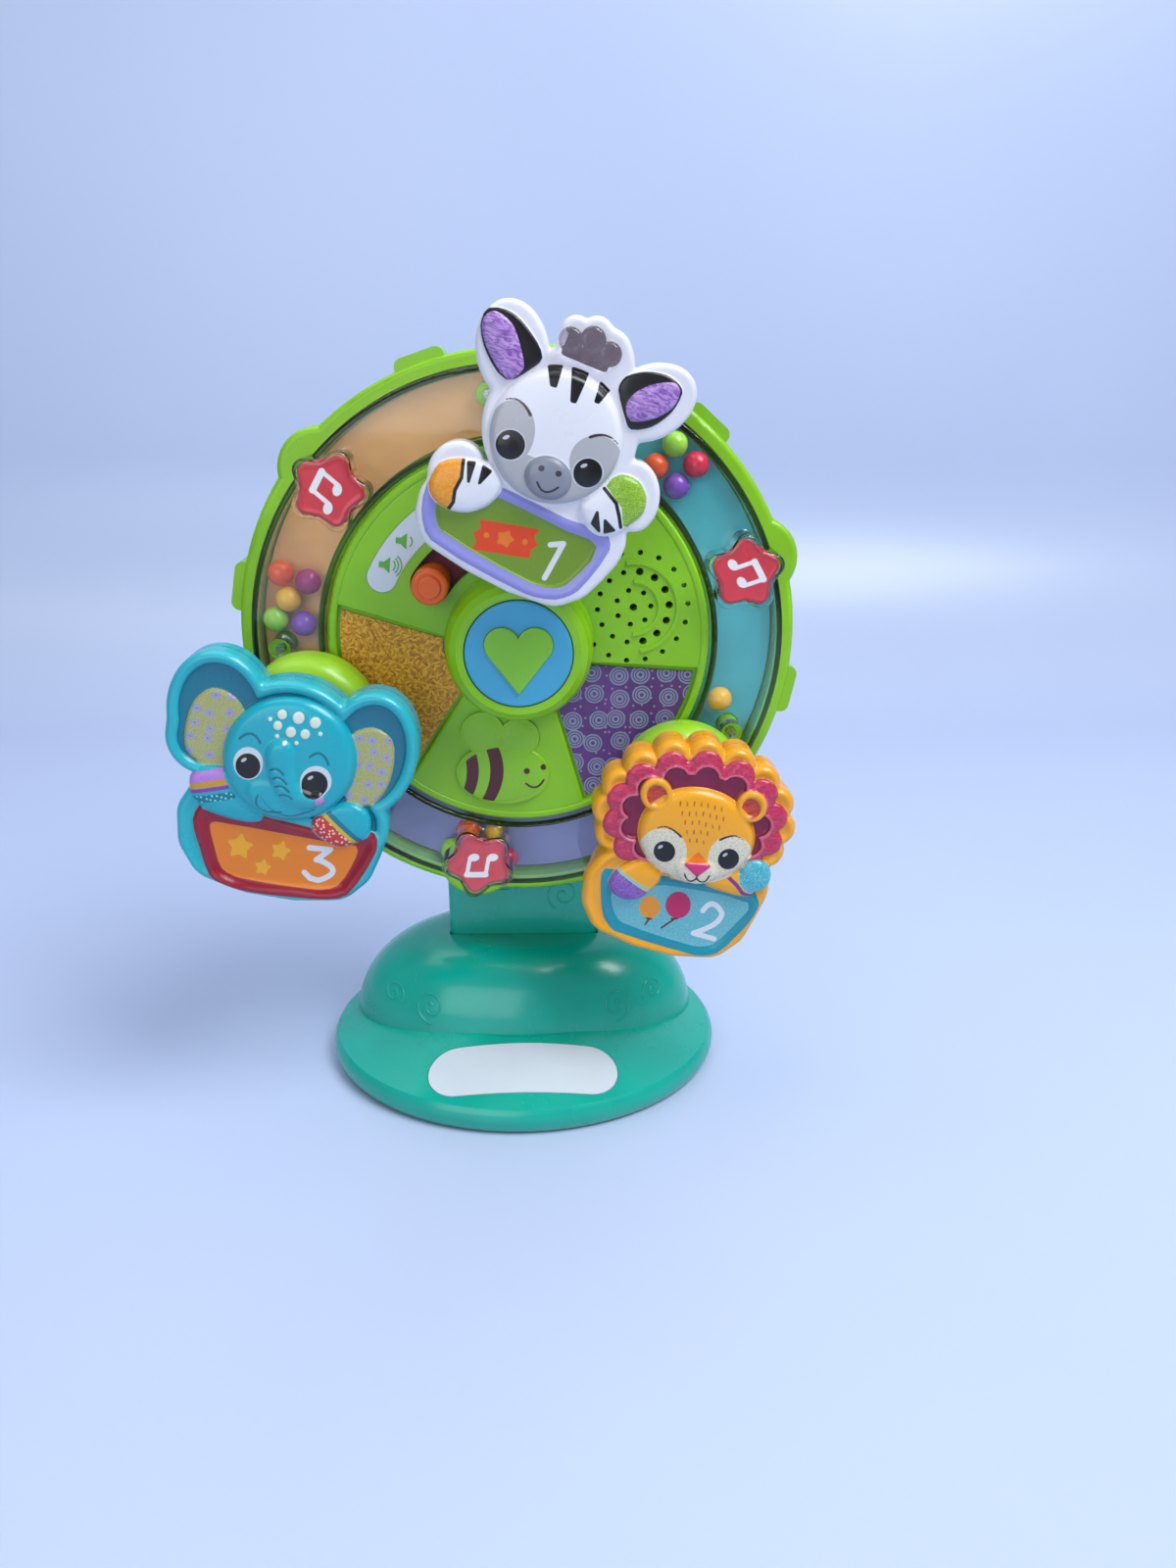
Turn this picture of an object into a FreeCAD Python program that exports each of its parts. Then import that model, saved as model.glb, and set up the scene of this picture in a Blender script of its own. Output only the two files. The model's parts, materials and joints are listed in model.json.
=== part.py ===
import FreeCAD, Part
import math
import os

# Animal wheel toy on a suction base. Millimetres, +Z up, +Y away from the viewer.
# The origin is on the table at the centre of the base. The wheel turns about an axis along Y.

# Driving sizes of the wheel
WHEEL_Z = 152.0
RIM_Y = -9.0
RIM_R = 85.0
RIM_WIDTH = 4.2
RIM_FRONT = -6.0
RIM_BACK = 8.0
RIM_ROUNDING = 1.8
STAR_LOBE_R = 12.5
STAR_LOBE_RING_R = 76.5
HUB_WALL = 2.7
PLATE_FRONT = 1.0
PLATE_THICK = 3.0
RUNNING_GAP = 0.3
FIT_GAP = 0.3
PIN_GAP = 0.1

# Driving sizes of the clear rattle ring
TROUGH_FRONT = -12.0
TROUGH_WALL = 1.8
TROUGH_SKIN = 1.5
TROUGH_POST_R = 3.3
INSERT_THICK = 1.5
STAR_RING_R = 70.4
STAR_TOWER_R = 13.2
STAR_BADGE_R = 10.2
STAR_FRONT = -21.5
SCREW_RING_R = 72.5
SCREW_SPREAD = 17.5
BEAD_R = 3.9
BEAD_LANES = (65.9, 70.9, 74.3)

# Driving sizes of the fixed centre module
MODULE_R = 58.0
MODULE_FRONT = -10.5
FACE_FRONT = -8.0
FACE_THICK = 2.0
POD_RISE = 2.2
DRUM_R = 50.0
DRUM_WALL = 2.0
DRUM_FRONT = -2.5
FLANGE_R = 55.0
FLANGE_FRONT = 9.0
FLANGE_THICK = 3.0
BEZEL_R = 22.5
BEZEL_FRONT = -24.5
BUTTON_R = 16.0
BUTTON_TRAVEL = 2.0
BUTTON_STOP = -14.0
BUTTON_FLANGE = 1.2
BUTTON_SKIN = 2.2
BUTTON_WALL = 2.0
HEART_WIDTH = 20.3
KNOB_R = 5.5
KNOB_RING_R = 31.9
KNOB_REST_ANGLE = 144.5
KNOB_TRAVEL_ANGLE = 28.0
KNOB_FRONT = -18.5
KNOB_CAP_FRONT = -19.6
SLIDER_THICK = 1.0
GRILLE_AT = (34.6, 11.0)
SPEAKER_R = 12.0
BOARD_FRONT = 2.0
BOARD_THICK = 1.6
SWITCH_HEIGHT = 4.6
WIRE_HOLE_R = 4.0
POST_R = 3.2

# Driving sizes of the column and the base
COLUMN_WIDTH = 52.0
COLUMN_HEAD_R = 54.0
COLUMN_FRONT = 12.0
COLUMN_DEPTH = 24.0
PLATE_LOW_Z = 1.8
PLATE_TOP_Z = 3.8
CUP_STEM_R = 9.5
CUP_WASHER_R = 13.0
SHELL_WALL = 2.2
BASE_LENGTH = 136.0
BASE_DEPTH = 115.0
BASE_GAP = 0.8
DOME_TOP = 41.0
DOME_BACK_SHIFT = 9.0
LABEL_LENGTH = 63.0
LABEL_WIDTH = 19.5
LABEL_THICK = 0.5
LABEL_Y = -40.0
FLANGE_TOP_Z = 18.0
DOME_DEPTH_SHARE = 0.6
CUP_R = 44.0
CASE_POST_R = 3.6

# Batteries
CELL_R = 5.25
CELL_LENGTH = 44.5
DOOR_WIDTH = 62.0
DOOR_HEIGHT = 38.0
TRAY_WALL = 1.5

# Angles round the wheel in degrees, anticlockwise from +X as seen from the front
STAR_ANGLES = (19.0, 139.0, 259.0)
PIVOT_ANGLES = {"zebra": 79.0, "elephant": 199.0, "lion": 319.0}
GRIP_OFFSET = 30.0
GRIP_LENGTH = 15.0

# Driving sizes of the three gondolas
GONDOLA_BACK = -27.5
GONDOLA_SPLIT = -31.5
GONDOLA_FRONT = -37.0
GONDOLA_WALL = 1.8
GONDOLA_FLOOR = 2.0
PIVOT_R = 4.0
BOSS_R = 20.0
BOSS_RING_R = 67.0
BOSS_FRONT = -24.0
PIVOT_POST_R = 5.0
GONDOLA_POST_R = 3.0
SCREW_SHANK_R = 1.3
SCREW_HEAD_R = 2.6
BASE_SCREW_LENGTH = 6.5

V = FreeCAD.Vector
BACKWARD = V(0, 1, 0)
UPWARD = V(0, 0, 1)


def at(depth):
    """Row y of a depth that is counted from the rim plane, negative to the front."""
    return RIM_Y + depth


def polar(radius, angle):
    """Front-view point (x, z) round the wheel axis."""
    turn = math.radians(angle)
    return (radius * math.cos(turn), WHEEL_Z + radius * math.sin(turn))


def disc(radius, front, back, centre=(0.0, WHEEL_Z)):
    return Part.makeCylinder(radius, back - front, V(centre[0], at(front), centre[1]), BACKWARD)


def ring(outer, inner, front, back, centre=(0.0, WHEEL_Z)):
    return disc(outer, front, back, centre).cut(disc(inner, front - 1, back + 1, centre))


def extruded(wire, front, back):
    """A prism from a closed front-view wire that is drawn at y = 0."""
    face = Part.Face(wire)
    face.translate(V(0, at(front), 0))
    return face.extrude(V(0, back - front, 0))


def rounded_wire(corners, radii):
    """A closed front-view outline of straight sides with an arc at each corner."""
    count = len(corners)
    if not hasattr(radii, "__len__"):
        radii = [radii] * count
    edges = []
    ends = []
    for i, corner in enumerate(corners):
        here = V(corner[0], 0, corner[1])
        before = V(corners[i - 1][0], 0, corners[i - 1][1])
        after = V(corners[(i + 1) % count][0], 0, corners[(i + 1) % count][1])
        back_way = (before - here).normalize()
        on_way = (after - here).normalize()
        half = back_way.getAngle(on_way) / 2
        reach = radii[i] / math.tan(half)
        start = here + back_way * reach
        end = here + on_way * reach
        bisector = (back_way + on_way).normalize()
        middle = here + bisector * (radii[i] / math.sin(half) - radii[i])
        ends.append((start, middle, end))
    for i, (start, middle, end) in enumerate(ends):
        edges.append(Part.Arc(start, middle, end).toShape())
        following = ends[(i + 1) % count][0]
        if end.distanceToPoint(following) > 1e-4:
            edges.append(Part.LineSegment(end, following).toShape())
    return Part.Wire(edges)


def plate(corners, radii, front, back):
    return extruded(rounded_wire(corners, radii), front, back)


def sector(outer, inner, low_angle, high_angle, front, back):
    """Part of a ring between two angles round the wheel axis."""
    blank = ring(outer, inner, front, back)
    reach = outer * 3
    corners = [(0.0, WHEEL_Z)]
    steps = 4
    for i in range(steps + 1):
        corners.append(polar(reach, low_angle + (high_angle - low_angle) * i / steps))
    points = [V(x, at(front) - 1, z) for x, z in corners + corners[:1]]
    wedge = Part.Face(Part.makePolygon(points)).extrude(V(0, back - front + 2, 0))
    return blank.common(wedge)


def slot_prism(radius, half_width, low_angle, high_angle, front, back):
    """A curved slot with round ends that follows a circle round the wheel axis."""
    body = sector(radius + half_width, radius - half_width, low_angle, high_angle, front, back)
    for angle in (low_angle, high_angle):
        body = body.fuse(disc(half_width, front, back, polar(radius, angle)))
    return body.removeSplitter()


def ellipse_prism(centre, major, minor, angle, front, back):
    """An elliptical prism whose longer axis lies at an angle in the front view."""
    turn = math.radians(angle)
    middle = V(centre[0], 0, centre[1])
    along = middle + V(math.cos(turn), 0, math.sin(turn)) * major
    across = middle + V(-math.sin(turn), 0, math.cos(turn)) * minor
    curve = Part.Ellipse(along, across, middle)
    return extruded(Part.Wire([curve.toShape()]), front, back)


def star_wire(centre, tip_r, turn, valley_share=0.64, rounding=0.26):
    """A five-lobed star with round tips and round valleys."""
    corners = []
    for i in range(10):
        radius = tip_r * 1.12 if i % 2 == 0 else tip_r * valley_share
        angle = math.radians(turn + 36 * i)
        corners.append((centre[0] + radius * math.cos(angle), centre[1] + radius * math.sin(angle)))
    return rounded_wire(corners, tip_r * rounding)


def round_edges(shape, radius, chosen):
    """Rounds the edges that a test picks."""
    return shape.makeFillet(radius, [edge for edge in shape.Edges if chosen(edge)])


def lies_at(depth):
    """An edge test: all of the edge lies at one depth."""
    level = at(depth)

    def chosen(edge):
        box = edge.BoundBox
        return abs(box.YMin - level) < 1e-3 and abs(box.YMax - level) < 1e-3

    return chosen


def screw(centre, head_at, tip_at, head_r=SCREW_HEAD_R, shank_r=SCREW_SHANK_R, head_thick=1.8):
    """A pan-head screw along Y with a cross recess. The head lies on the side away from the tip."""
    sign = 1 if tip_at > head_at else -1
    low, high = sorted((head_at - sign * head_thick, head_at))
    head = disc(head_r, low, high, centre)
    low, high = sorted((head_at, tip_at))
    shank = disc(shank_r, low, high, centre)
    outer_face = head_at - sign * head_thick
    cut_low, cut_high = sorted((outer_face, outer_face + sign * head_thick * 0.6))
    size = head_r * 0.6
    thin = head_r * 0.16
    x, z = centre
    for half_x, half_z in ((size, thin), (thin, size)):
        corner = V(x - half_x, at(cut_low), z - half_z)
        bar = Part.makeBox(2 * half_x, cut_high - cut_low, 2 * half_z, corner)
        head = head.cut(bar)
    return head.fuse(shank)


def group(shapes):
    return Part.makeCompound(shapes)


# Base

def oval_body(outline, depth_share, shift):
    """Turns an (r, z) outline about an upright axis and squeezes it in y into an oval plan.
    An outline entry of three points is an arc, and one of two points is a straight side."""
    edges = []
    for piece in outline:
        points = [V(r, 0, z) for r, z in piece]
        curve = Part.Arc(*points) if len(points) == 3 else Part.LineSegment(*points)
        edges.append(curve.toShape())
    solid = Part.Face(Part.Wire(edges)).revolve(V(0, 0, 0), UPWARD, 360)
    squeeze = FreeCAD.Matrix()
    squeeze.A22 = depth_share
    body = solid.transformGeometry(squeeze)
    body.translate(V(0, shift, 0))
    return body


FLANGE_DEPTH_SHARE = BASE_DEPTH / BASE_LENGTH
DOME_HALF_LENGTH = BASE_LENGTH / 2 - 7.5


def flange_body(inset):
    """The low foot with its round edge and its sloping top."""
    half = BASE_LENGTH / 2 - inset
    low = BASE_GAP - (1.0 if inset else 0.0)
    top = FLANGE_TOP_Z - inset
    foot = (half - 1.6, low)
    shoulder = (half - 1.8, 9.0 - inset * 0.6)
    inner_top = (half * 0.5, top)
    outline = [((0, low), foot), (foot, (half, 4.8), shoulder), (shoulder, inner_top), (inner_top, (0, top)),
               ((0, top), (0, low))]
    return oval_body(outline, FLANGE_DEPTH_SHARE, 0.0)


def dome_body(inset):
    """The swelling above the foot that holds the column."""
    half = DOME_HALF_LENGTH - inset
    low = 6.0 - (1.0 if inset else 0.0)
    top = DOME_TOP - inset
    foot, waist, crown = (half, low), (half, 12.0), (half * 0.42, top)
    outline = [((0, low), foot), (foot, waist), (waist, (half * 0.86, top * 0.74), crown), (crown, (0, top)),
               ((0, top), (0, low))]
    return oval_body(outline, DOME_DEPTH_SHARE, DOME_BACK_SHIFT)


def label_prism(extra, low, high):
    """The stadium of the base label, cut straight down through the sloping front of the flange."""
    half = LABEL_LENGTH / 2 + extra
    radius = LABEL_WIDTH / 2 + extra
    points = [
        V(half - radius, LABEL_Y - radius, low),
        V(half, LABEL_Y, low),
        V(half - radius, LABEL_Y + radius, low),
    ]
    mirrored = [V(-p.x, p.y, p.z) for p in points]
    edges = [
        Part.Arc(points[0], points[1], points[2]).toShape(),
        Part.LineSegment(points[2], mirrored[2]).toShape(),
        Part.Arc(mirrored[2], mirrored[1], mirrored[0]).toShape(),
        Part.LineSegment(mirrored[0], points[0]).toShape(),
    ]
    return Part.Face(Part.Wire(edges)).extrude(V(0, 0, high - low))


def column_box(extra, low, high):
    """The column's section, grown by a clearance, between two heights."""
    half = COLUMN_WIDTH / 2 + extra
    front = at(COLUMN_FRONT) - extra
    return Part.makeBox(2 * half, COLUMN_DEPTH + 2 * extra, high - low, V(-half, front, low))


def base_top_shell():
    outer = flange_body(0).fuse(dome_body(0))
    inner = flange_body(SHELL_WALL).fuse(dome_body(SHELL_WALL))
    shell = outer.cut(inner)
    shell = shell.cut(label_skin(0.0))
    shell = shell.cut(column_box(FIT_GAP, 2.0, DOME_TOP + 5))
    for x, y in base_screw_places():
        post = Part.makeCylinder(3.4, 16.0, V(x, y, PLATE_TOP_Z))
        shell = shell.fuse(post.common(outer))
        shell = shell.cut(Part.makeCylinder(SCREW_SHANK_R, BASE_SCREW_LENGTH, V(x, y, PLATE_TOP_Z - 1)))
    return largest_solid(shell.removeSplitter())


def largest_solid(shape):
    return max(shape.Solids, key=lambda solid: solid.Volume)


def label_skin(extra):
    """The top layer of the flange inside the label's stadium."""
    block = label_prism(extra, 0.0, 40.0).common(flange_body(0))
    lowered = block.copy()
    lowered.translate(V(0, 0, -LABEL_THICK))
    return largest_solid(block.cut(lowered))


def base_label():
    return label_skin(-FIT_GAP)


def base_screw_places():
    return [(sx * 49.0, sy * 24.0 + 3.0) for sx in (-1, 1) for sy in (-1, 1)]


def base_bottom_plate():
    half = BASE_LENGTH / 2 - 1.6 - SHELL_WALL - FIT_GAP
    low, high = PLATE_LOW_Z, PLATE_TOP_Z
    body = oval_body([((0, low), (half, low)), ((half, low), (half, high)), ((half, high), (0, high)),
                      ((0, high), (0, low))], FLANGE_DEPTH_SHARE, 0.0)
    body = body.cut(Part.makeCylinder(7.5, 10.0, V(0, 0, -1)))
    for x, y in base_screw_places():
        body = body.cut(Part.makeCylinder(SCREW_SHANK_R + PIN_GAP, 10.0, V(x, y, -1)))
        body = body.cut(Part.makeCylinder(SCREW_HEAD_R + FIT_GAP, 1.2, V(x, y, PLATE_LOW_Z - 0.1)))
    for x, y in column_screw_places():
        body = body.cut(Part.makeCylinder(SCREW_SHANK_R + PIN_GAP, 10.0, V(x, y, -1)))
        body = body.cut(Part.makeCylinder(SCREW_HEAD_R + FIT_GAP, 1.2, V(x, y, PLATE_LOW_Z - 0.1)))
    return body


def upright_screw(x, y, head_z, length):
    """A screw that goes up, with its head at the bottom."""
    head = Part.makeCylinder(SCREW_HEAD_R, 1.0, V(x, y, head_z))
    return head.fuse(Part.makeCylinder(SCREW_SHANK_R, length, V(x, y, head_z + 1.0)))


def base_screws():
    """The screws that hold the top shell and the column on the bottom plate."""
    places = base_screw_places() + column_screw_places()
    return group([upright_screw(x, y, PLATE_LOW_Z, BASE_SCREW_LENGTH) for x, y in places])


def column_screw_places():
    middle = at(COLUMN_FRONT) + COLUMN_DEPTH / 2
    return [(sx * 16.0, middle + sy * 6.0) for sx in (-1, 1) for sy in (-1, 1)]


def revolved(profile, centre=(0.0, 0.0)):
    """Turns an (r, z) outline about an upright axis."""
    points = [V(centre[0] + r, centre[1], z) for r, z in profile]
    face = Part.Face(Part.makePolygon(points + points[:1]))
    return face.revolve(V(centre[0], centre[1], 0), UPWARD, 360)


def suction_cup():
    """A soft cup whose lip lies on the table and whose stem holds in the bottom plate."""
    lip = CUP_R
    top = 1.6
    profile = [
        (0, 0.9), (lip * 0.5, 0.7), (lip - 3, 0.0), (lip, 0.0), (lip, 0.7), (lip * 0.6, top),
        (7.3, top), (7.3, PLATE_TOP_Z), (CUP_STEM_R, PLATE_TOP_Z), (CUP_STEM_R, 6.2), (6.0, 8.2), (0, 8.2),
    ]
    return revolved(profile)


def suction_cup_washer():
    """The stiff washer that spreads the cup's pull on the bottom plate."""
    low = V(0, 0, PLATE_TOP_Z)
    return Part.makeCylinder(CUP_WASHER_R, 1.2, low).cut(Part.makeCylinder(CUP_STEM_R + FIT_GAP, 3.0, low))


# Column

def column_outline(inset, front, back):
    """The upright with its round head, as seen from the front, shrunk by an inset."""
    half = COLUMN_WIDTH / 2 - inset
    foot = PLATE_TOP_Z + (inset if inset else 0)
    neck = WHEEL_Z - COLUMN_HEAD_R
    corners = [(-half, foot), (half, foot), (half + 1.0, neck + 30.0), (-half - 1.0, neck + 30.0)]
    stem = plate(corners, 1.0, front, back)
    head = disc(COLUMN_HEAD_R - inset, front, back)
    return stem.fuse(head)


COLUMN_MIDDLE = COLUMN_FRONT + COLUMN_DEPTH / 2
COLUMN_BACK = COLUMN_FRONT + COLUMN_DEPTH
CASE_SCREWS = ((-44.0, 0.0), (44.0, 0.0), (0.0, 44.0), (0.0, -44.0), (0.0, -88.0))


def case_screw_places():
    return [(x, WHEEL_Z + z) for x, z in CASE_SCREWS]


def column_front_shell():
    outer = column_outline(0, COLUMN_FRONT, COLUMN_MIDDLE)
    outer = round_edges(outer, 3.0, lies_at(COLUMN_FRONT))
    body = outer.cut(column_outline(SHELL_WALL, COLUMN_FRONT + SHELL_WALL, COLUMN_MIDDLE + 1))
    for place in case_screw_places():
        body = body.fuse(ring(CASE_POST_R, SCREW_SHANK_R, COLUMN_FRONT + 1, COLUMN_MIDDLE, place))
    for x, y in column_screw_places():
        if y < at(COLUMN_MIDDLE):
            depth = at(COLUMN_MIDDLE) - y + CASE_POST_R
            block = Part.makeBox(8.0, depth, 9.0, V(x - 4.0, y - CASE_POST_R, PLATE_TOP_Z))
            body = body.fuse(block).cut(Part.makeCylinder(SCREW_SHANK_R, 20, V(x, y, 0)))
    body = body.cut(Part.makeCylinder(CUP_WASHER_R + FIT_GAP, 6.0, V(0, 0, PLATE_TOP_Z - 1)))
    body = body.cut(disc(WIRE_HOLE_R, COLUMN_FRONT - 1, COLUMN_FRONT + 5))
    for place in cover_screw_places():
        body = body.cut(disc(SCREW_HEAD_R + FIT_GAP, COLUMN_FRONT - 1, COLUMN_FRONT + 4, place))
    for place in module_screw_places():
        body = body.cut(disc(SCREW_SHANK_R + PIN_GAP, COLUMN_FRONT - 1, COLUMN_FRONT + 4, place))
    return largest_solid(body.removeSplitter())


def door_corners(extra):
    half_w = DOOR_WIDTH / 2 + extra
    half_h = DOOR_HEIGHT / 2 + extra
    return [(-half_w, WHEEL_Z - half_h), (half_w, WHEEL_Z - half_h), (half_w, WHEEL_Z + half_h),
            (-half_w, WHEEL_Z + half_h)]


def column_rear_shell():
    outer = column_outline(0, COLUMN_MIDDLE, COLUMN_BACK)
    outer = round_edges(outer, 3.0, lies_at(COLUMN_BACK))
    body = outer.cut(column_outline(SHELL_WALL, COLUMN_MIDDLE - 1, COLUMN_BACK - SHELL_WALL))
    for place in case_screw_places():
        post = ring(CASE_POST_R, SCREW_SHANK_R + PIN_GAP, COLUMN_MIDDLE, COLUMN_BACK - 0.5, place)
        body = body.fuse(post)
        body = body.cut(disc(SCREW_HEAD_R + FIT_GAP, COLUMN_BACK - 6.0, COLUMN_BACK + 1, place))
        body = body.cut(disc(SCREW_SHANK_R + PIN_GAP, COLUMN_MIDDLE - 1, COLUMN_BACK, place))
    for x, y in column_screw_places():
        if y > at(COLUMN_MIDDLE):
            depth = y + CASE_POST_R - at(COLUMN_MIDDLE)
            block = Part.makeBox(8.0, depth, 9.0, V(x - 4.0, at(COLUMN_MIDDLE), PLATE_TOP_Z))
            body = body.fuse(block).cut(Part.makeCylinder(SCREW_SHANK_R, 20, V(x, y, 0)))
    opening = plate(door_corners(FIT_GAP), 4.0, COLUMN_BACK - SHELL_WALL - 1, COLUMN_BACK + 1)
    return largest_solid(body.cut(opening).removeSplitter())


def case_screws():
    return group([screw(place, COLUMN_BACK - 6.0, COLUMN_FRONT + 4.0) for place in case_screw_places()])


# Battery compartment

TRAY_FRONT = COLUMN_MIDDLE - 3.5
TRAY_BACK = COLUMN_BACK - SHELL_WALL - 0.2
DOOR_SCREW_AT = (0.0, WHEEL_Z - DOOR_HEIGHT / 2 + 5.0)


def tray_corners(inset):
    half_w = DOOR_WIDTH / 2 + TRAY_WALL + 0.8 - inset
    half_h = DOOR_HEIGHT / 2 + TRAY_WALL + 0.8 - inset
    return [(-half_w, WHEEL_Z - half_h), (half_w, WHEEL_Z - half_h), (half_w, WHEEL_Z + half_h),
            (-half_w, WHEEL_Z + half_h)]


def battery_tray():
    body = plate(tray_corners(0), 3.0, TRAY_FRONT, TRAY_BACK)
    body = body.cut(plate(tray_corners(TRAY_WALL), 2.0, TRAY_FRONT + TRAY_WALL, TRAY_BACK + 1))
    post = ring(4.0, SCREW_SHANK_R + PIN_GAP, TRAY_FRONT, COLUMN_BACK - 4.2, DOOR_SCREW_AT)
    body = body.fuse(post)
    rib_z = cell_heights()[0] - CELL_R - 1.6
    rib = Part.makeBox(CELL_LENGTH, 6.0, 1.2, V(-CELL_LENGTH / 2, at(TRAY_FRONT + 1), rib_z))
    body = body.fuse(rib.cut(disc(4.0, TRAY_FRONT, TRAY_BACK, DOOR_SCREW_AT)))
    return body.removeSplitter()


def cell_heights():
    middle = WHEEL_Z + 5.0
    return (middle - CELL_R - 0.5, middle + CELL_R + 0.5)


CELL_DEPTH = TRAY_FRONT + TRAY_WALL + CELL_R + 0.3


def batteries():
    """Two plain cells that lie side by side the opposite way round."""
    cells = []
    for sign, z in zip((1, -1), cell_heights()):
        low = -CELL_LENGTH / 2
        can_x = low if sign > 0 else low + 1.0
        can = Part.makeCylinder(CELL_R, CELL_LENGTH - 1.0, V(can_x, at(CELL_DEPTH), z), V(1, 0, 0))
        nub_x = low + CELL_LENGTH - 1.0 if sign > 0 else low
        nub = Part.makeCylinder(1.9, 1.0, V(nub_x, at(CELL_DEPTH), z), V(1, 0, 0))
        cells.append(can.fuse(nub))
    return group(cells)


def battery_contacts():
    """Leaf contacts at both ends of each cell."""
    half = DOOR_WIDTH / 2 + 0.8
    reach = half - CELL_LENGTH / 2
    leaves = []
    for side in (-1, 1):
        for z in cell_heights():
            x = side * half - (0.5 if side > 0 else 0.0)
            leaf = Part.makeBox(0.5, 8.0, 9.0, V(x, at(CELL_DEPTH) - 4.0, z - 4.5))
            start = V(side * CELL_LENGTH / 2, at(CELL_DEPTH), z)
            bump = Part.makeCylinder(1.6, reach - 0.5, start, V(side, 0, 0))
            leaves.append(leaf.fuse(bump))
    return group(leaves)


def battery_door():
    body = plate(door_corners(0), 4.0 - FIT_GAP, COLUMN_BACK - SHELL_WALL, COLUMN_BACK)
    for i in range(5):
        x = (i - 2) * 4.0
        corner = V(x - 0.7, at(COLUMN_BACK) - 0.6, WHEEL_Z + DOOR_HEIGHT / 2 - 13.0)
        groove = Part.makeBox(1.4, 1.0, 9.0, corner)
        body = body.cut(groove)
    body = body.fuse(disc(4.4, COLUMN_BACK - 4.0, COLUMN_BACK - 1.0, DOOR_SCREW_AT))
    body = body.cut(disc(SCREW_HEAD_R + FIT_GAP, COLUMN_BACK - 2.4, COLUMN_BACK + 1, DOOR_SCREW_AT))
    return body.cut(disc(SCREW_SHANK_R + PIN_GAP, COLUMN_BACK - 5, COLUMN_BACK, DOOR_SCREW_AT))


def battery_door_screw():
    return screw(DOOR_SCREW_AT, COLUMN_BACK - 2.4, COLUMN_BACK - 11.0)


# Centre module

def module_screw_places():
    return [polar(41.0, angle) for angle in (20.0, 160.0, 232.0, 308.0)]


def module_rear_housing():
    flange_back = FLANGE_FRONT + FLANGE_THICK
    body = ring(DRUM_R, DRUM_R - DRUM_WALL, DRUM_FRONT, flange_back)
    body = body.fuse(disc(FLANGE_R, FLANGE_FRONT, flange_back))
    body = body.cut(disc(WIRE_HOLE_R, FLANGE_FRONT - 1, flange_back + 1))
    for place in board_post_places():
        body = body.fuse(ring(2.6, 0.9, BOARD_FRONT + BOARD_THICK, FLANGE_FRONT + 0.5, place))
    for place in module_screw_places():
        body = body.cut(disc(SCREW_SHANK_R + PIN_GAP, FLANGE_FRONT - 1, flange_back + 1, place))
    for place in cover_screw_places():
        body = body.fuse(ring(POST_R, SCREW_SHANK_R + PIN_GAP, 2.5, FLANGE_FRONT + 0.5, place))
        body = body.cut(disc(SCREW_SHANK_R + PIN_GAP, FLANGE_FRONT - 1, flange_back + 1, place))
    return largest_solid(body.removeSplitter())


def wheel_slip_ring():
    """The slippery washer between the wheel's hub and the flange behind it."""
    return ring(DRUM_R + HUB_WALL, DRUM_R + RUNNING_GAP, RIM_BACK + 0.2, FLANGE_FRONT)


def module_screws():
    """Screws from inside the column's head that hold the module's flange."""
    tail = FLANGE_FRONT - 3.0
    return group([screw_with_nut(place, tail) for place in module_screw_places()])


def screw_with_nut(place, tail):
    body = screw(place, COLUMN_FRONT + SHELL_WALL, tail)
    nut = ring(2.8, SCREW_SHANK_R, tail, FLANGE_FRONT, place)
    return body.fuse(nut)


def cover_screw_places():
    return [polar(43.5, angle) for angle in (92.0, 182.0, 270.0, 350.0)]


def board_post_places():
    return [polar(33.0, angle) for angle in (60.0, 130.0, 215.0, 325.0)]


def circuit_board():
    body = disc(38.5, BOARD_FRONT, BOARD_FRONT + BOARD_THICK)
    speaker_room = disc(SPEAKER_R + 1.5, BOARD_FRONT - 1, BOARD_FRONT + 3, speaker_centre())
    body = body.cut(speaker_room)
    for place in board_post_places():
        body = body.cut(disc(0.9, BOARD_FRONT - 1, BOARD_FRONT + 3, place))
    return body


def speaker_centre():
    return polar(34.5, 17.5)


def speaker():
    """A small speaker: frame ring, cone and magnet."""
    centre = speaker_centre()
    front = FACE_FRONT + FACE_THICK
    body = disc(SPEAKER_R, front, front + 3.0, centre)
    body = body.fuse(disc(SPEAKER_R * 0.72, front + 3.0, front + 5.0, centre))
    body = body.fuse(disc(SPEAKER_R * 0.5, front + 5.0, front + 8.5, centre))
    return body.cut(disc(SPEAKER_R * 0.8, front - 1, front + 0.8, centre))


def button_switch():
    base = Part.makeBox(6.0, 3.5, 6.0, V(-3.0, at(BOARD_FRONT) - 3.5, WHEEL_Z - 3.0))
    return base.fuse(disc(1.7, BOARD_FRONT - SWITCH_HEIGHT, BOARD_FRONT - 3.5))


def button_led():
    centre = (9.0, WHEEL_Z)
    dome = disc(2.5, BOARD_FRONT - 5.0, BOARD_FRONT - 0.01, centre)
    return dome.fuse(disc(2.9, BOARD_FRONT - 1.0, BOARD_FRONT, centre))


def volume_switch():
    x, z = polar(32.0, 131.0)
    return Part.makeBox(9.0, 4.5, 5.0, V(x - 4.5, at(BOARD_FRONT) - 4.5, z - 2.5))


def spin_switch():
    """The switch that senses the wheel's turning."""
    x, z = polar(31.0, 285.0)
    body = Part.makeBox(7.0, 4.0, 5.0, V(x - 3.5, at(BOARD_FRONT) - 4.0, z - 2.5))
    lever = Part.makeBox(1.0, 0.6, 8.0, V(x - 0.5, at(BOARD_FRONT) - 3.0, z - 10.5))
    return body.fuse(lever)


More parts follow.
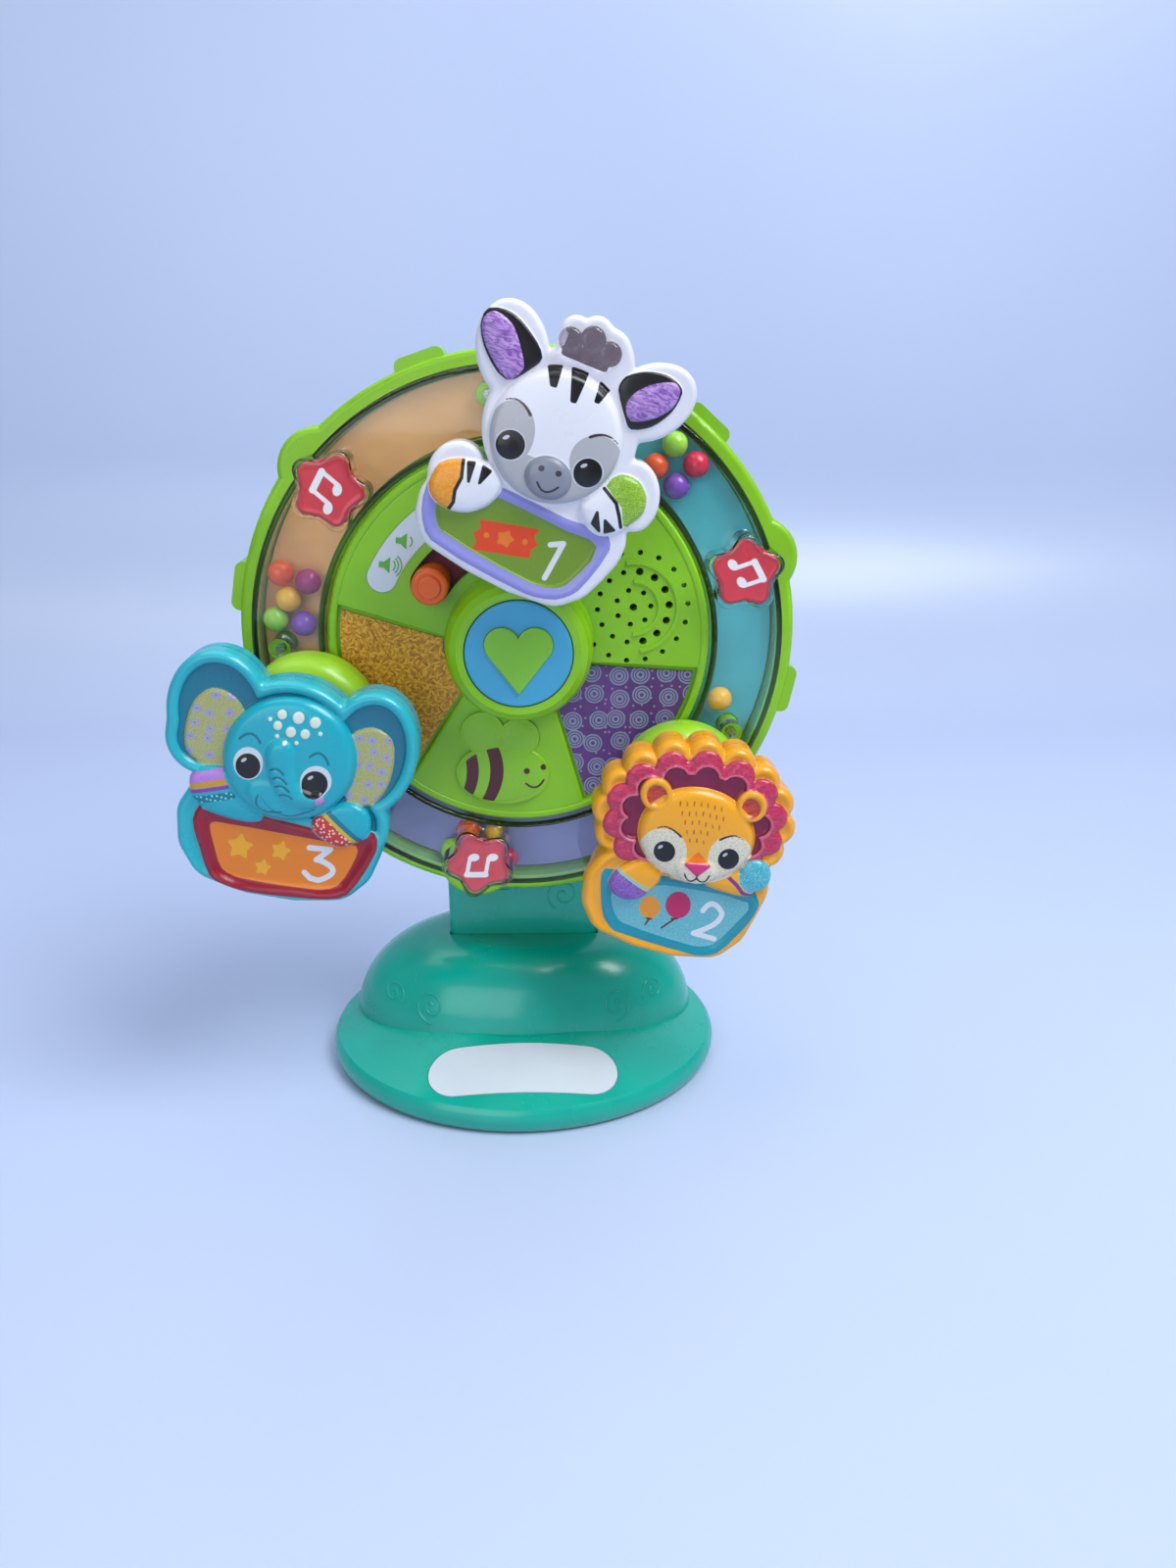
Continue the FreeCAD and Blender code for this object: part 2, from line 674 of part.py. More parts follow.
def pod(outer, inner, ends, front, back):
    """A raised field of the cover: an outer and an inner arc with straight sides between them."""
    out_low, out_high, in_low, in_high = ends
    start = polar(outer, out_low)
    arc_out = [polar(outer, (out_low + out_high) / 2), polar(outer, out_high)]
    arc_in = [polar(inner, in_high), polar(inner, (in_low + in_high) / 2), polar(inner, in_low)]
    points = [V(x, 0, z) for x, z in [start] + arc_out + arc_in]
    edges = [
        Part.Arc(points[0], points[1], points[2]).toShape(),
        Part.LineSegment(points[2], points[3]).toShape(),
        Part.Arc(points[3], points[4], points[5]).toShape(),
        Part.LineSegment(points[5], points[0]).toShape(),
    ]
    return extruded(Part.Wire(edges), front, back)


SWITCH_POD = (88.0, 168.0, 88.0, 176.0)
SPEAKER_POD = (-8.5, 88.0, -17.0, 88.0)
BEE_POD = (-128.5, -69.0, -138.5, -61.5)
YELLOW_FIELD = (169.5, 230.0, 177.5, 220.0)
PURPLE_FIELD = (-67.5, -10.0, -60.0, -18.5)
FIELD_OUTER = MODULE_R - 3.0
FIELD_INNER = BEZEL_R - 0.5
POD_FRONT = FACE_FRONT - POD_RISE


def bezel_solid():
    """The round housing that stands in front of the module and frames the button."""
    front = BEZEL_FRONT
    profile = [
        (BEZEL_R + 0.5, FACE_FRONT + 0.5), (BEZEL_R, FACE_FRONT - 4.0), (BEZEL_R - 0.6, front + 5.0),
        (BEZEL_R - 2.0, front + 1.6), (BEZEL_R - 4.0, front), (BUTTON_R + FIT_GAP, front + 0.3),
        (BUTTON_R + FIT_GAP, BUTTON_STOP - 0.2), (BEZEL_R - 2.2, BUTTON_STOP), (BEZEL_R - 1.8, FACE_FRONT + 0.5),
    ]
    points = [V(r, at(y), WHEEL_Z) for r, y in profile]
    face = Part.Face(Part.makePolygon(points + points[:1]))
    return face.revolve(V(0, 0, WHEEL_Z), BACKWARD, 360)


def grille_holes():
    """Sound holes: one in the centre and three rings round it."""
    holes = [(GRILLE_AT, 1.15)]
    for ring_r, count, small, large in ((5.3, 7, 0.8, 0.8), (10.9, 14, 0.8, 1.15), (16.6, 18, 0.8, 0.8)):
        for i in range(count):
            angle = math.radians(360.0 * i / count + 4.0)
            radius = large if math.cos(angle) > 0 else small
            x = GRILLE_AT[0] + ring_r * math.cos(angle)
            z = GRILLE_AT[1] + ring_r * math.sin(angle)
            holes.append(((x, z), radius))
    return [((x, WHEEL_Z + z), radius) for (x, z), radius in holes]


def grille_ridges():
    """Half-round ridges between the rings of sound holes."""
    centre = (GRILLE_AT[0], WHEEL_Z + GRILLE_AT[1])
    ridges = []
    for radius, low in ((8.1, -90.0), (13.7, -80.0)):
        full = ring(radius + 0.6, radius - 0.6, POD_FRONT - 0.6, POD_FRONT + 0.5, centre)
        half = Part.makeBox(40.0, 10.0, 80.0, V(centre[0], at(POD_FRONT) - 5, centre[1] - 40))
        half.rotate(V(centre[0], 0, centre[1]), V(0, -1, 0), low + 90.0)
        ridges.append(full.common(half))
    return ridges


SLOT_LOW = KNOB_REST_ANGLE - KNOB_TRAVEL_ANGLE - 1.5
SLOT_HIGH = KNOB_REST_ANGLE + 1.5
SLOT_HALF = KNOB_R + 0.5
LABEL_RING = (45.3, 4.6, 104.0, 154.0)
BEE_BODY = ((-5.7, -42.3), 14.6, 9.8, -4.0)
BEE_WINGS = (((-11.8, -28.6), 6.8), ((-0.4, -30.0), 6.2))


def bee_relief(extra, front, back):
    """A plain bee: an oval body and two round wings."""
    (x, z), major, minor, angle = BEE_BODY
    body = ellipse_prism((x, WHEEL_Z + z), major + extra, minor + extra, angle, front, back)
    for (wing_x, wing_z), radius in BEE_WINGS:
        body = body.fuse(disc(radius + extra, front, back, (wing_x, WHEEL_Z + wing_z)))
    return body


def module_front_cover():
    back = FACE_FRONT + FACE_THICK
    body = disc(MODULE_R, FACE_FRONT, back)
    rim = ring(MODULE_R, MODULE_R - 2.6, MODULE_FRONT, -3.0)
    rim = round_edges(rim, 0.9, lies_at(MODULE_FRONT))
    body = body.fuse(rim)
    for field in (SWITCH_POD, SPEAKER_POD, BEE_POD):
        raised = pod(FIELD_OUTER + 1.0, FIELD_INNER, field, POD_FRONT, back)
        raised = round_edges(raised, 0.8, lies_at(POD_FRONT))
        body = body.fuse(raised)
    body = body.fuse(bezel_solid())
    body = body.cut(disc(BEZEL_R - 1.8, FACE_FRONT - 1, back + 1))
    body = body.fuse(bee_relief(0, POD_FRONT - 1.1, POD_FRONT + 0.5))
    for ridge in grille_ridges():
        body = body.fuse(ridge)
    body = body.cut(slot_prism(KNOB_RING_R, SLOT_HALF, SLOT_LOW, SLOT_HIGH, POD_FRONT - 1, back + 1))
    radius, half, low, high = LABEL_RING
    body = body.cut(slot_prism(radius, half, low, high, POD_FRONT - 1, POD_FRONT + 0.4))
    for place, radius in grille_holes():
        body = body.cut(disc(radius, POD_FRONT - 2, back + 1, place))
    for place in cover_screw_places():
        body = body.fuse(ring(POST_R, SCREW_SHANK_R, back - 0.5, 2.3, place))
    body = body.cut(disc(BEZEL_R - 3.4, FACE_FRONT - 1, back + 1))
    return largest_solid(body.removeSplitter())


def cover_screws():
    head_at = FLANGE_FRONT + FLANGE_THICK
    return group([screw(place, head_at, -3.0) for place in cover_screw_places()])


def field_insert(field):
    """The thin printed plate that lies in a sunk field of the cover."""
    return pod(FIELD_OUTER - 0.6, FIELD_INNER + 1.4, field, FACE_FRONT - 0.8, FACE_FRONT)


def volume_label():
    radius, half, low, high = LABEL_RING
    return slot_prism(radius, half - 0.2, low, high, POD_FRONT, POD_FRONT + 0.4)


# Button

def heart_wire(width, extra=0.0):
    """A heart: two round lobes and two straight sides that touch them and meet in a round tip."""
    lobe = width * 0.262 + extra
    lobe_x = width / 2 + extra - lobe
    lobe_z = width * 0.14
    tip_z = -width * 0.60 - extra
    span = math.hypot(lobe_x, lobe_z - tip_z)
    tangent = math.sqrt(span * span - lobe * lobe)
    lean = math.atan2(lobe_z - tip_z, lobe_x) - math.asin(lobe / span)
    touch = V(math.cos(lean) * tangent, 0, tip_z + math.sin(lean) * tangent)
    dip_z = lobe_z + math.sqrt(max(lobe * lobe - lobe_x * lobe_x, 0.01))
    right_out = V(lobe_x + lobe * math.cos(0.7), 0, lobe_z + lobe * math.sin(0.7))
    lift = V(0, 0, WHEEL_Z)
    points = [V(0, 0, tip_z), touch, right_out, V(0, 0, dip_z)]
    left = [V(-p.x, 0, p.z) for p in points]
    edges = [
        Part.LineSegment(points[0] + lift, points[1] + lift).toShape(),
        Part.Arc(points[1] + lift, points[2] + lift, points[3] + lift).toShape(),
        Part.Arc(left[3] + lift, left[2] + lift, left[1] + lift).toShape(),
        Part.LineSegment(left[1] + lift, left[0] + lift).toShape(),
    ]
    return Part.Wire(edges)


BUTTON_FRONT = BEZEL_FRONT - 0.3


def heart_button_cap():
    front = BUTTON_FRONT
    flange_front = BUTTON_STOP + FIT_GAP
    flange_back = flange_front + BUTTON_FLANGE
    body = disc(BUTTON_R, front, flange_back)
    body = round_edges(body, 0.8, lies_at(front))
    body = body.fuse(disc(BUTTON_R + 1.9, flange_front, flange_back))
    body = body.cut(disc(BUTTON_R - BUTTON_WALL, front + BUTTON_SKIN, flange_back + 1))
    stem_back = BOARD_FRONT - SWITCH_HEIGHT - BUTTON_TRAVEL - FIT_GAP
    body = body.fuse(ring(4.6, 3.0, front + BUTTON_SKIN, stem_back))
    body = body.fuse(disc(4.6, stem_back - 1.5, stem_back))
    rib = Part.makeBox(2 * BUTTON_R - 2.0, flange_back - front - BUTTON_SKIN, 1.2,
                       V(-BUTTON_R + 1.0, at(front + BUTTON_SKIN), WHEEL_Z - 0.6))
    body = body.fuse(rib.cut(disc(4.0, front, 0)))
    return body.cut(extruded(heart_wire(HEART_WIDTH, 0.1), front - 1, front + BUTTON_SKIN)).removeSplitter()


def heart_lens():
    body = extruded(heart_wire(HEART_WIDTH), BUTTON_FRONT - 0.9, BUTTON_FRONT + BUTTON_SKIN)
    return round_edges(body, 0.5, lies_at(BUTTON_FRONT - 0.9))


# Volume slider

def volume_slider_plate():
    """The curved plate that carries the knob and closes the slot from behind."""
    gap = FACE_FRONT + FACE_THICK + 0.3
    half_reach = math.degrees(KNOB_R / KNOB_RING_R) + 3.0
    low_angle = SLOT_LOW - half_reach
    high_angle = SLOT_HIGH + half_reach + KNOB_TRAVEL_ANGLE
    lap = SLOT_HALF + 1.0
    return sector(KNOB_RING_R + lap, KNOB_RING_R - lap, low_angle, high_angle, gap, gap + SLIDER_THICK)


def volume_knob():
    place = polar(KNOB_RING_R, KNOB_REST_ANGLE)
    base = FACE_FRONT + FACE_THICK + 0.3
    body = disc(KNOB_R, KNOB_FRONT, base, place)
    body = round_edges(body, 1.2, lies_at(KNOB_FRONT))
    cap = disc(KNOB_R * 0.62, KNOB_CAP_FRONT, KNOB_FRONT + 0.5, place)
    return body.fuse(round_edges(cap, 0.6, lies_at(KNOB_CAP_FRONT)))


# Wheel

def pivot_centre(name):
    return polar(STAR_RING_R, PIVOT_ANGLES[name])


def trough_screw_places():
    places = []
    for angle in PIVOT_ANGLES.values():
        for sign in (-1, 1):
            places.append(polar(SCREW_RING_R, angle + sign * SCREW_SPREAD))
    return places


def rim_disc(radius, centre):
    """A disc as thick as the rim with both edges rounded."""
    body = round_edges(disc(radius, RIM_FRONT, RIM_BACK, centre), RIM_ROUNDING, lies_at(RIM_FRONT))
    return round_edges(body, RIM_ROUNDING, lies_at(RIM_BACK))


def rim_grip(angle):
    """One of the low blocks that stand out of the rim."""
    half = GRIP_LENGTH / 2
    corners = [(-3.0, -half), (3.2, -half), (3.2, half), (-3.0, half)]
    grip = plate(corners, 2.6, RIM_FRONT + 1, RIM_BACK - 1)
    grip.rotate(V(0, 0, 0), V(0, -1, 0), angle)
    x, z = polar(RIM_R - 0.5, angle)
    grip.translate(V(x, 0, z))
    return grip


def wheel_back_ring():
    plate_back = PLATE_FRONT + PLATE_THICK
    hub_r = DRUM_R + RUNNING_GAP
    rim_inner = RIM_R - RIM_WIDTH
    rim = rim_disc(RIM_R, (0.0, WHEEL_Z))
    for star in STAR_ANGLES:
        rim = rim.fuse(rim_disc(STAR_LOBE_R, polar(STAR_LOBE_RING_R, star)))
        for side in (-1, 1):
            rim = rim.fuse(rim_grip(star + side * GRIP_OFFSET))
    body = rim.cut(disc(rim_inner, RIM_FRONT - 1, RIM_BACK + 1))
    body = body.fuse(ring(rim_inner + 0.5, hub_r, PLATE_FRONT, plate_back))
    body = body.fuse(ring(hub_r + HUB_WALL, hub_r, -2.2, RIM_BACK))
    for name in PIVOT_ANGLES:
        centre = pivot_centre(name)
        body = body.fuse(disc(PIVOT_POST_R, TROUGH_FRONT, PLATE_FRONT + 0.5, centre))
        body = body.cut(disc(SCREW_SHANK_R, TROUGH_FRONT - 1, PLATE_FRONT - 2, centre))
    for place in trough_screw_places():
        body = body.fuse(ring(TROUGH_POST_R, SCREW_SHANK_R + PIN_GAP, -5.0, PLATE_FRONT + 0.5, place))
        body = body.cut(disc(SCREW_SHANK_R + PIN_GAP, -6, plate_back + 1, place))
    return largest_solid(body.removeSplitter())


def trough_radii():
    """Outer and inner radius of the clear trough."""
    return RIM_R - RIM_WIDTH - FIT_GAP, MODULE_R + 0.8


def star_prism(tip_r, angle, front, back):
    return extruded(star_wire(polar(STAR_RING_R, angle), tip_r, angle), front, back)


def wheel_clear_cover():
    outer, inner = trough_radii()
    body = ring(outer, inner, TROUGH_FRONT, PLATE_FRONT)
    body = round_edges(body, 1.4, lies_at(TROUGH_FRONT))
    for angle in STAR_ANGLES:
        tower = star_prism(STAR_TOWER_R, angle, STAR_FRONT, RIM_FRONT)
        tower = round_edges(tower, 1.2, lies_at(STAR_FRONT))
        body = body.fuse(tower.cut(disc(inner, STAR_FRONT - 1, 0)))
    body = body.cut(ring(outer - TROUGH_WALL, inner + TROUGH_WALL, TROUGH_FRONT + TROUGH_SKIN, PLATE_FRONT + 1))
    for angle in STAR_ANGLES:
        hollow = star_prism(STAR_TOWER_R - 1.5, angle, STAR_FRONT + TROUGH_SKIN, TROUGH_FRONT + TROUGH_SKIN)
        body = body.cut(hollow.cut(disc(inner + TROUGH_WALL, STAR_FRONT, 0)))
    for name in PIVOT_ANGLES:
        body = body.cut(disc(PIVOT_POST_R + FIT_GAP, TROUGH_FRONT - 1, 0, pivot_centre(name)))
    for place in trough_screw_places():
        body = body.fuse(ring(TROUGH_POST_R, SCREW_SHANK_R, TROUGH_FRONT + 0.5, -5.2, place))
    return largest_solid(body.removeSplitter())


def sector_insert(low_angle, high_angle):
    outer, inner = trough_radii()
    body = sector(outer - TROUGH_WALL - FIT_GAP, inner + TROUGH_WALL + FIT_GAP,
                  low_angle + 0.2, high_angle - 0.2, PLATE_FRONT - INSERT_THICK, PLATE_FRONT)
    for name in PIVOT_ANGLES:
        body = body.cut(disc(PIVOT_POST_R + FIT_GAP, -3, 3, pivot_centre(name)))
    for place in trough_screw_places():
        body = body.cut(disc(TROUGH_POST_R + FIT_GAP, -3, 3, place))
    return body


def star_badge(angle):
    front = STAR_FRONT + TROUGH_SKIN
    return star_prism(STAR_BADGE_R, angle, front, front + 1.0)


def pivot_boss(name):
    """The domed boss that holds a gondola's pivot in front of the clear ring."""
    angle = PIVOT_ANGLES[name]
    centre = polar(BOSS_RING_R, angle)
    pivot = pivot_centre(name)
    dome = disc(BOSS_R, BOSS_FRONT, TROUGH_FRONT - 0.4, centre)
    dome = round_edges(dome, 7.0, lies_at(BOSS_FRONT))
    hollow = disc(BOSS_R - 2.0, BOSS_FRONT + 8.0, TROUGH_FRONT, centre)
    body = dome.cut(hollow)
    body = body.fuse(disc(7.5, BOSS_FRONT + 2, TROUGH_FRONT, pivot))
    body = body.fuse(disc(PIVOT_R, GONDOLA_SPLIT, BOSS_FRONT + 3, pivot))
    body = body.fuse(disc(8.0, BOSS_FRONT - 3.2, BOSS_FRONT + 3, pivot))
    return body.cut(disc(SCREW_SHANK_R + PIN_GAP, GONDOLA_SPLIT - 1, TROUGH_FRONT + 1, pivot)).removeSplitter()


def pivot_washers():
    return group([ring(7.0, SCREW_SHANK_R + PIN_GAP, GONDOLA_SPLIT - 0.8, GONDOLA_SPLIT, pivot_centre(name))
                  for name in PIVOT_ANGLES])


def pivot_screws():
    return group([screw(pivot_centre(name), GONDOLA_SPLIT - 0.8, TROUGH_FRONT + 8.0) for name in PIVOT_ANGLES])


def wheel_screws():
    back = PLATE_FRONT + PLATE_THICK
    return group([screw(place, back, -9.5) for place in trough_screw_places()])


# Beads, each given by its lane and its angle

def bead_group(places):
    beads = []
    back = PLATE_FRONT - INSERT_THICK
    for lane, angle in places:
        x, z = polar(BEAD_LANES[lane], angle)
        beads.append(Part.makeSphere(BEAD_R, V(x, at(back - BEAD_R - 0.4), z)))
    return group(beads)


BEAD_PLACES = {
    "blue_upper_beads": ((2, 45.0), (2, 51.7), (0, 44.6), (0, 52.0)),
    "blue_lower_bead": ((0, -17.0),),
    "orange_beads": ((2, 164.2), (0, 164.4), (1, 169.9), (2, 175.2), (0, 175.8)),
    "lavender_beads": ((2, 252.0), (0, 254.6), (2, 259.0), (0, 262.4), (2, 266.0)),
}


# Gondolas. Each outline is a set of ovals and one tray, in the gondola's own upright frame
# with its pivot at the origin: ovals are (x, z, half length, half width, angle).

def scallops(centre, half_length, half_width, count, radius):
    """Round lobes that stand along an oval."""
    lobes = []
    for i in range(count):
        angle = math.radians(360.0 * i / count)
        x = centre[0] + half_length * math.cos(angle)
        z = centre[1] + half_width * math.sin(angle)
        lobes.append((x, z, radius, radius, 0.0))
    return tuple(lobes)


GONDOLAS = {
    "zebra": {
        "tilt": 20.0,
        "ovals": (
            (-18.0, 9.0, 12.8, 9.6, 117.0),
            (20.5, 9.5, 12.8, 9.4, 45.0),
            (0.5, -5.4, 21.0, 20.5, 0.0),
            (2.7, 15.0, 10.6, 8.8, 0.0),
            (-22.4, -24.5, 8.0, 7.0, 60.0),
            (25.2, -14.5, 9.6, 7.0, 110.0),
        ),
        "tray": ((-29.4, -24.0), (-27.8, -46.2), (16.6, -51.4), (27.6, -34.0), (26.6, -18.0)),
        "tray_rounding": 9.0,
        "relief": (
            (0.5, -5.4, 17.2, 17.0, 0.0, -40.5),
            (2.0, -15.8, 6.2, 5.4, -10.0, -42.5),
            (-18.6, -26.8, 8.0, 5.4, 20.0, -40.0),
            (22.6, -20.6, 9.4, 5.4, 70.0, -40.0),
        ),
        "panel": ((-22.5, -30.0), (-21.5, -41.5), (14.6, -46.5), (22.0, -31.5)),
        "screws": ((-18.5, 10.5), (20.5, 9.5), (0.0, -38.5)),
    },
    "elephant": {
        "tilt": 11.0,
        "ovals": (
            (-19.8, 4.2, 19.4, 15.2, 100.0),
            (-23.6, -3.4, 11.2, 11.2, 0.0),
            (23.3, 0.0, 19.6, 14.1, 85.0),
            (1.2, -2.0, 21.0, 20.6, 0.0),
        ),
        "tray": ((-28.6, -14.0), (-25.0, -47.8), (24.0, -48.4), (32.6, -25.0), (29.5, -10.0)),
        "tray_rounding": 10.0,
        "relief": (
            (1.2, -2.5, 17.8, 16.6, 0.0, -40.5),
            (3.5, -11.5, 9.5, 7.5, -25.0, -42.5),
            (-20.5, -18.5, 6.4, 5.0, 0.0, -39.5),
            (21.8, -20.4, 7.0, 5.0, 10.0, -39.5),
        ),
        "panel": ((-21.0, -25.5), (-20.0, -42.6), (20.6, -43.2), (26.6, -27.0)),
        "screws": ((-21.5, 6.0), (24.0, 3.0), (3.0, -36.0)),
    },
    "lion": {
        "tilt": 7.5,
        "ovals": scallops((-0.5, -1.6), 25.4, 19.8, 16, 5.6) + ((-0.5, -1.6, 27.2, 21.8, 0.0),),
        "tray": ((-29.0, -14.0), (-28.6, -41.8), (15.6, -48.6), (26.0, -26.0), (25.4, -12.0)),
        "tray_rounding": 9.0,
        "relief": (
            (-0.5, -1.6, 25.0, 19.6, 0.0, -38.6),
            (0.6, -6.4, 17.8, 14.6, 0.0, -41.0),
            (1.0, -14.2, 6.4, 4.8, 0.0, -42.5),
            (-13.3, 4.7, 4.9, 4.9, 0.0, -40.4),
            (15.9, 4.8, 4.7, 4.7, 0.0, -40.4),
            (-18.5, -25.2, 6.4, 4.6, -20.0, -40.0),
            (20.8, -17.6, 5.4, 5.2, 0.0, -40.0),
        ),
        "panel": ((-24.0, -29.0), (-23.0, -39.6), (12.0, -44.6), (20.4, -26.5)),
        "screws": ((-22.5, 2.0), (22.0, 2.5), (-2.0, -37.5)),
    },
}


def gondola_outline(name, inset, front, back):
    """The gondola's outline shrunk by an inset, in its own upright frame."""
    shape = GONDOLAS[name]
    corners = shrunk(shape["tray"], inset)
    body = plate(corners, max(shape["tray_rounding"] - inset, 1.0), front, back)
    pieces = []
    for x, z, major, minor, angle in shape["ovals"]:
        if abs(major - minor) < 0.01:
            pieces.append(disc(major - inset, front, back, (x, z)))
        else:
            pieces.append(ellipse_prism((x, z), major - inset, minor - inset, angle, front, back))
    return body.multiFuse(pieces).removeSplitter()


def shrunk(corners, inset):
    """Moves each corner of a convex outline towards the outline's middle."""
    middle_x = sum(x for x, _ in corners) / len(corners)
    middle_z = sum(z for _, z in corners) / len(corners)
    moved = []
    for x, z in corners:
        span = math.hypot(x - middle_x, z - middle_z)
        share = 1 - 1.35 * inset / span
        moved.append((middle_x + (x - middle_x) * share, middle_z + (z - middle_z) * share))
    return moved


def hang(shape, name):
    """Turns a gondola piece from its own frame to its place on the wheel."""
    x, z = pivot_centre(name)
    placed = shape.copy()
    placed.rotate(V(0, 0, 0), BACKWARD, GONDOLAS[name]["tilt"])
    placed.translate(V(x, 0, z))
    return placed


def gondola_back_shell(name):
    shape = GONDOLAS[name]
    floor = GONDOLA_BACK - GONDOLA_FLOOR
    body = gondola_outline(name, 0, GONDOLA_SPLIT, GONDOLA_BACK)
    body = body.cut(gondola_outline(name, GONDOLA_WALL, GONDOLA_SPLIT - 1, floor))
    hub = disc(PIVOT_R + 3.4, GONDOLA_SPLIT + 0.3, GONDOLA_BACK, (0, 0))
    body = body.fuse(hub).cut(disc(PIVOT_R + PIN_GAP, GONDOLA_SPLIT - 1, GONDOLA_BACK + 1, (0, 0)))
    for place in shape["screws"]:
        body = body.fuse(disc(GONDOLA_POST_R, GONDOLA_SPLIT, GONDOLA_BACK - 0.5, place))
        body = body.cut(disc(SCREW_SHANK_R + PIN_GAP, GONDOLA_SPLIT - 1, GONDOLA_BACK + 1, place))
        body = body.cut(disc(SCREW_HEAD_R + FIT_GAP, GONDOLA_BACK - 1.9, GONDOLA_BACK + 1, place))
    return hang(largest_solid(body), name)


def gondola_front_shell(name):
    shape = GONDOLAS[name]
    body = gondola_outline(name, 0, GONDOLA_FRONT, GONDOLA_SPLIT)
    for x, z, major, minor, angle, front in shape["relief"]:
        if abs(major - minor) < 0.01:
            raised = disc(major, front, GONDOLA_FRONT + 1, (x, z))
        else:
            raised = ellipse_prism((x, z), major, minor, angle, front, GONDOLA_FRONT + 1)
        body = body.fuse(raised)
    body = body.fuse(plate(shape["panel"], 2.5, GONDOLA_FRONT - 0.8, GONDOLA_FRONT + 1))
    body = body.cut(gondola_outline(name, GONDOLA_WALL, GONDOLA_FRONT + GONDOLA_WALL, GONDOLA_SPLIT + 1))
    for place in shape["screws"]:
        body = body.fuse(ring(GONDOLA_POST_R, SCREW_SHANK_R, GONDOLA_FRONT + 1.5, GONDOLA_SPLIT, place))
    return hang(largest_solid(body.removeSplitter()), name)


def gondola_screws(name):
    screws = [screw(place, GONDOLA_BACK - 1.9, GONDOLA_FRONT + 2.2, head_thick=1.6)
              for place in GONDOLAS[name]["screws"]]
    return hang(group(screws), name)


def zebra_mane_crystal():
    """Three clear round lobes on the forehead."""
    lobes = []
    for x, z, radius in ((-4.8, 16.8, 3.2), (0.6, 18.8, 3.4), (5.8, 17.0, 3.2)):
        lobe = disc(radius, GONDOLA_FRONT - 3.5, GONDOLA_FRONT, (x, z))
        lobes.append(round_edges(lobe, 1.4, lies_at(GONDOLA_FRONT - 3.5)))
    joined = lobes[0].multiFuse(lobes[1:])
    bridge = ((-6.2, 12.6), (6.6, 12.4), (6.8, 16.6), (-6.2, 17.0))
    joined = joined.fuse(plate(bridge, 1.0, GONDOLA_FRONT - 1.5, GONDOLA_FRONT))
    clear_of_head = disc(17.5, GONDOLA_FRONT - 10, GONDOLA_FRONT + 1, (0.5, -5.4))
    return hang(largest_solid(joined.cut(clear_of_head)), "zebra")


# All pieces

def all_pieces():
    """Names and shapes of every separate piece."""
    pieces = {
        "suction_cup": suction_cup(),
        "suction_cup_washer": suction_cup_washer(),
        "base_bottom_plate": base_bottom_plate(),
        "base_top_shell": base_top_shell(),
        "base_label": base_label(),
        "base_screws": base_screws(),
        "column_front_shell": column_front_shell(),
        "column_rear_shell": column_rear_shell(),
        "case_screws": case_screws(),
        "battery_tray": battery_tray(),
        "battery_contacts": battery_contacts(),
        "batteries": batteries(),
        "battery_door": battery_door(),
        "battery_door_screw": battery_door_screw(),
        "module_rear_housing": module_rear_housing(),
        "module_screws": module_screws(),
        "wheel_slip_ring": wheel_slip_ring(),
        "module_front_cover": module_front_cover(),
        "cover_screws": cover_screws(),
        "yellow_panel": field_insert(YELLOW_FIELD),
        "purple_panel": field_insert(PURPLE_FIELD),
        "volume_label": volume_label(),
        "circuit_board": circuit_board(),
        "button_switch": button_switch(),
        "button_led": button_led(),
        "volume_switch": volume_switch(),
        "spin_switch": spin_switch(),
        "speaker": speaker(),
        "heart_button_cap": heart_button_cap(),
        "heart_lens": heart_lens(),
        "volume_slider_plate": volume_slider_plate(),
        "volume_knob": volume_knob(),
        "wheel_back_ring": wheel_back_ring(),
        "wheel_clear_cover": wheel_clear_cover(),
        "orange_sector_insert": sector_insert(PIVOT_ANGLES["zebra"], PIVOT_ANGLES["elephant"]),
        "lavender_sector_insert": sector_insert(PIVOT_ANGLES["elephant"], PIVOT_ANGLES["lion"]),
        "blue_sector_insert": sector_insert(PIVOT_ANGLES["lion"] - 360.0, PIVOT_ANGLES["zebra"]),
        "pivot_washers": pivot_washers(),
        "pivot_screws": pivot_screws(),
        "wheel_screws": wheel_screws(),
        "zebra_mane_crystal": zebra_mane_crystal(),
    }
    for number, angle in enumerate(STAR_ANGLES, 1):
        pieces[f"star_badge_{number}"] = star_badge(angle)
    for name, places in BEAD_PLACES.items():
        pieces[name] = bead_group(places)
    for name in PIVOT_ANGLES:
        pieces[f"{name}_pivot_boss"] = pivot_boss(name)
        pieces[f"{name}_back_shell"] = gondola_back_shell(name)
        pieces[f"{name}_front_shell"] = gondola_front_shell(name)
        pieces[f"{name}_screws"] = gondola_screws(name)
    return pieces


os.makedirs("parts", exist_ok=True)
for piece_name, piece in all_pieces().items():
    piece.exportStep(os.path.join("parts", piece_name + ".step"))
    print(piece_name, len(piece.Solids), piece.isValid(), round(piece.Volume, 1))
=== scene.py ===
import bmesh
import bpy
import json
import math
import numpy as np
from mathutils import Matrix, Vector
from mathutils.bvhtree import BVHTree


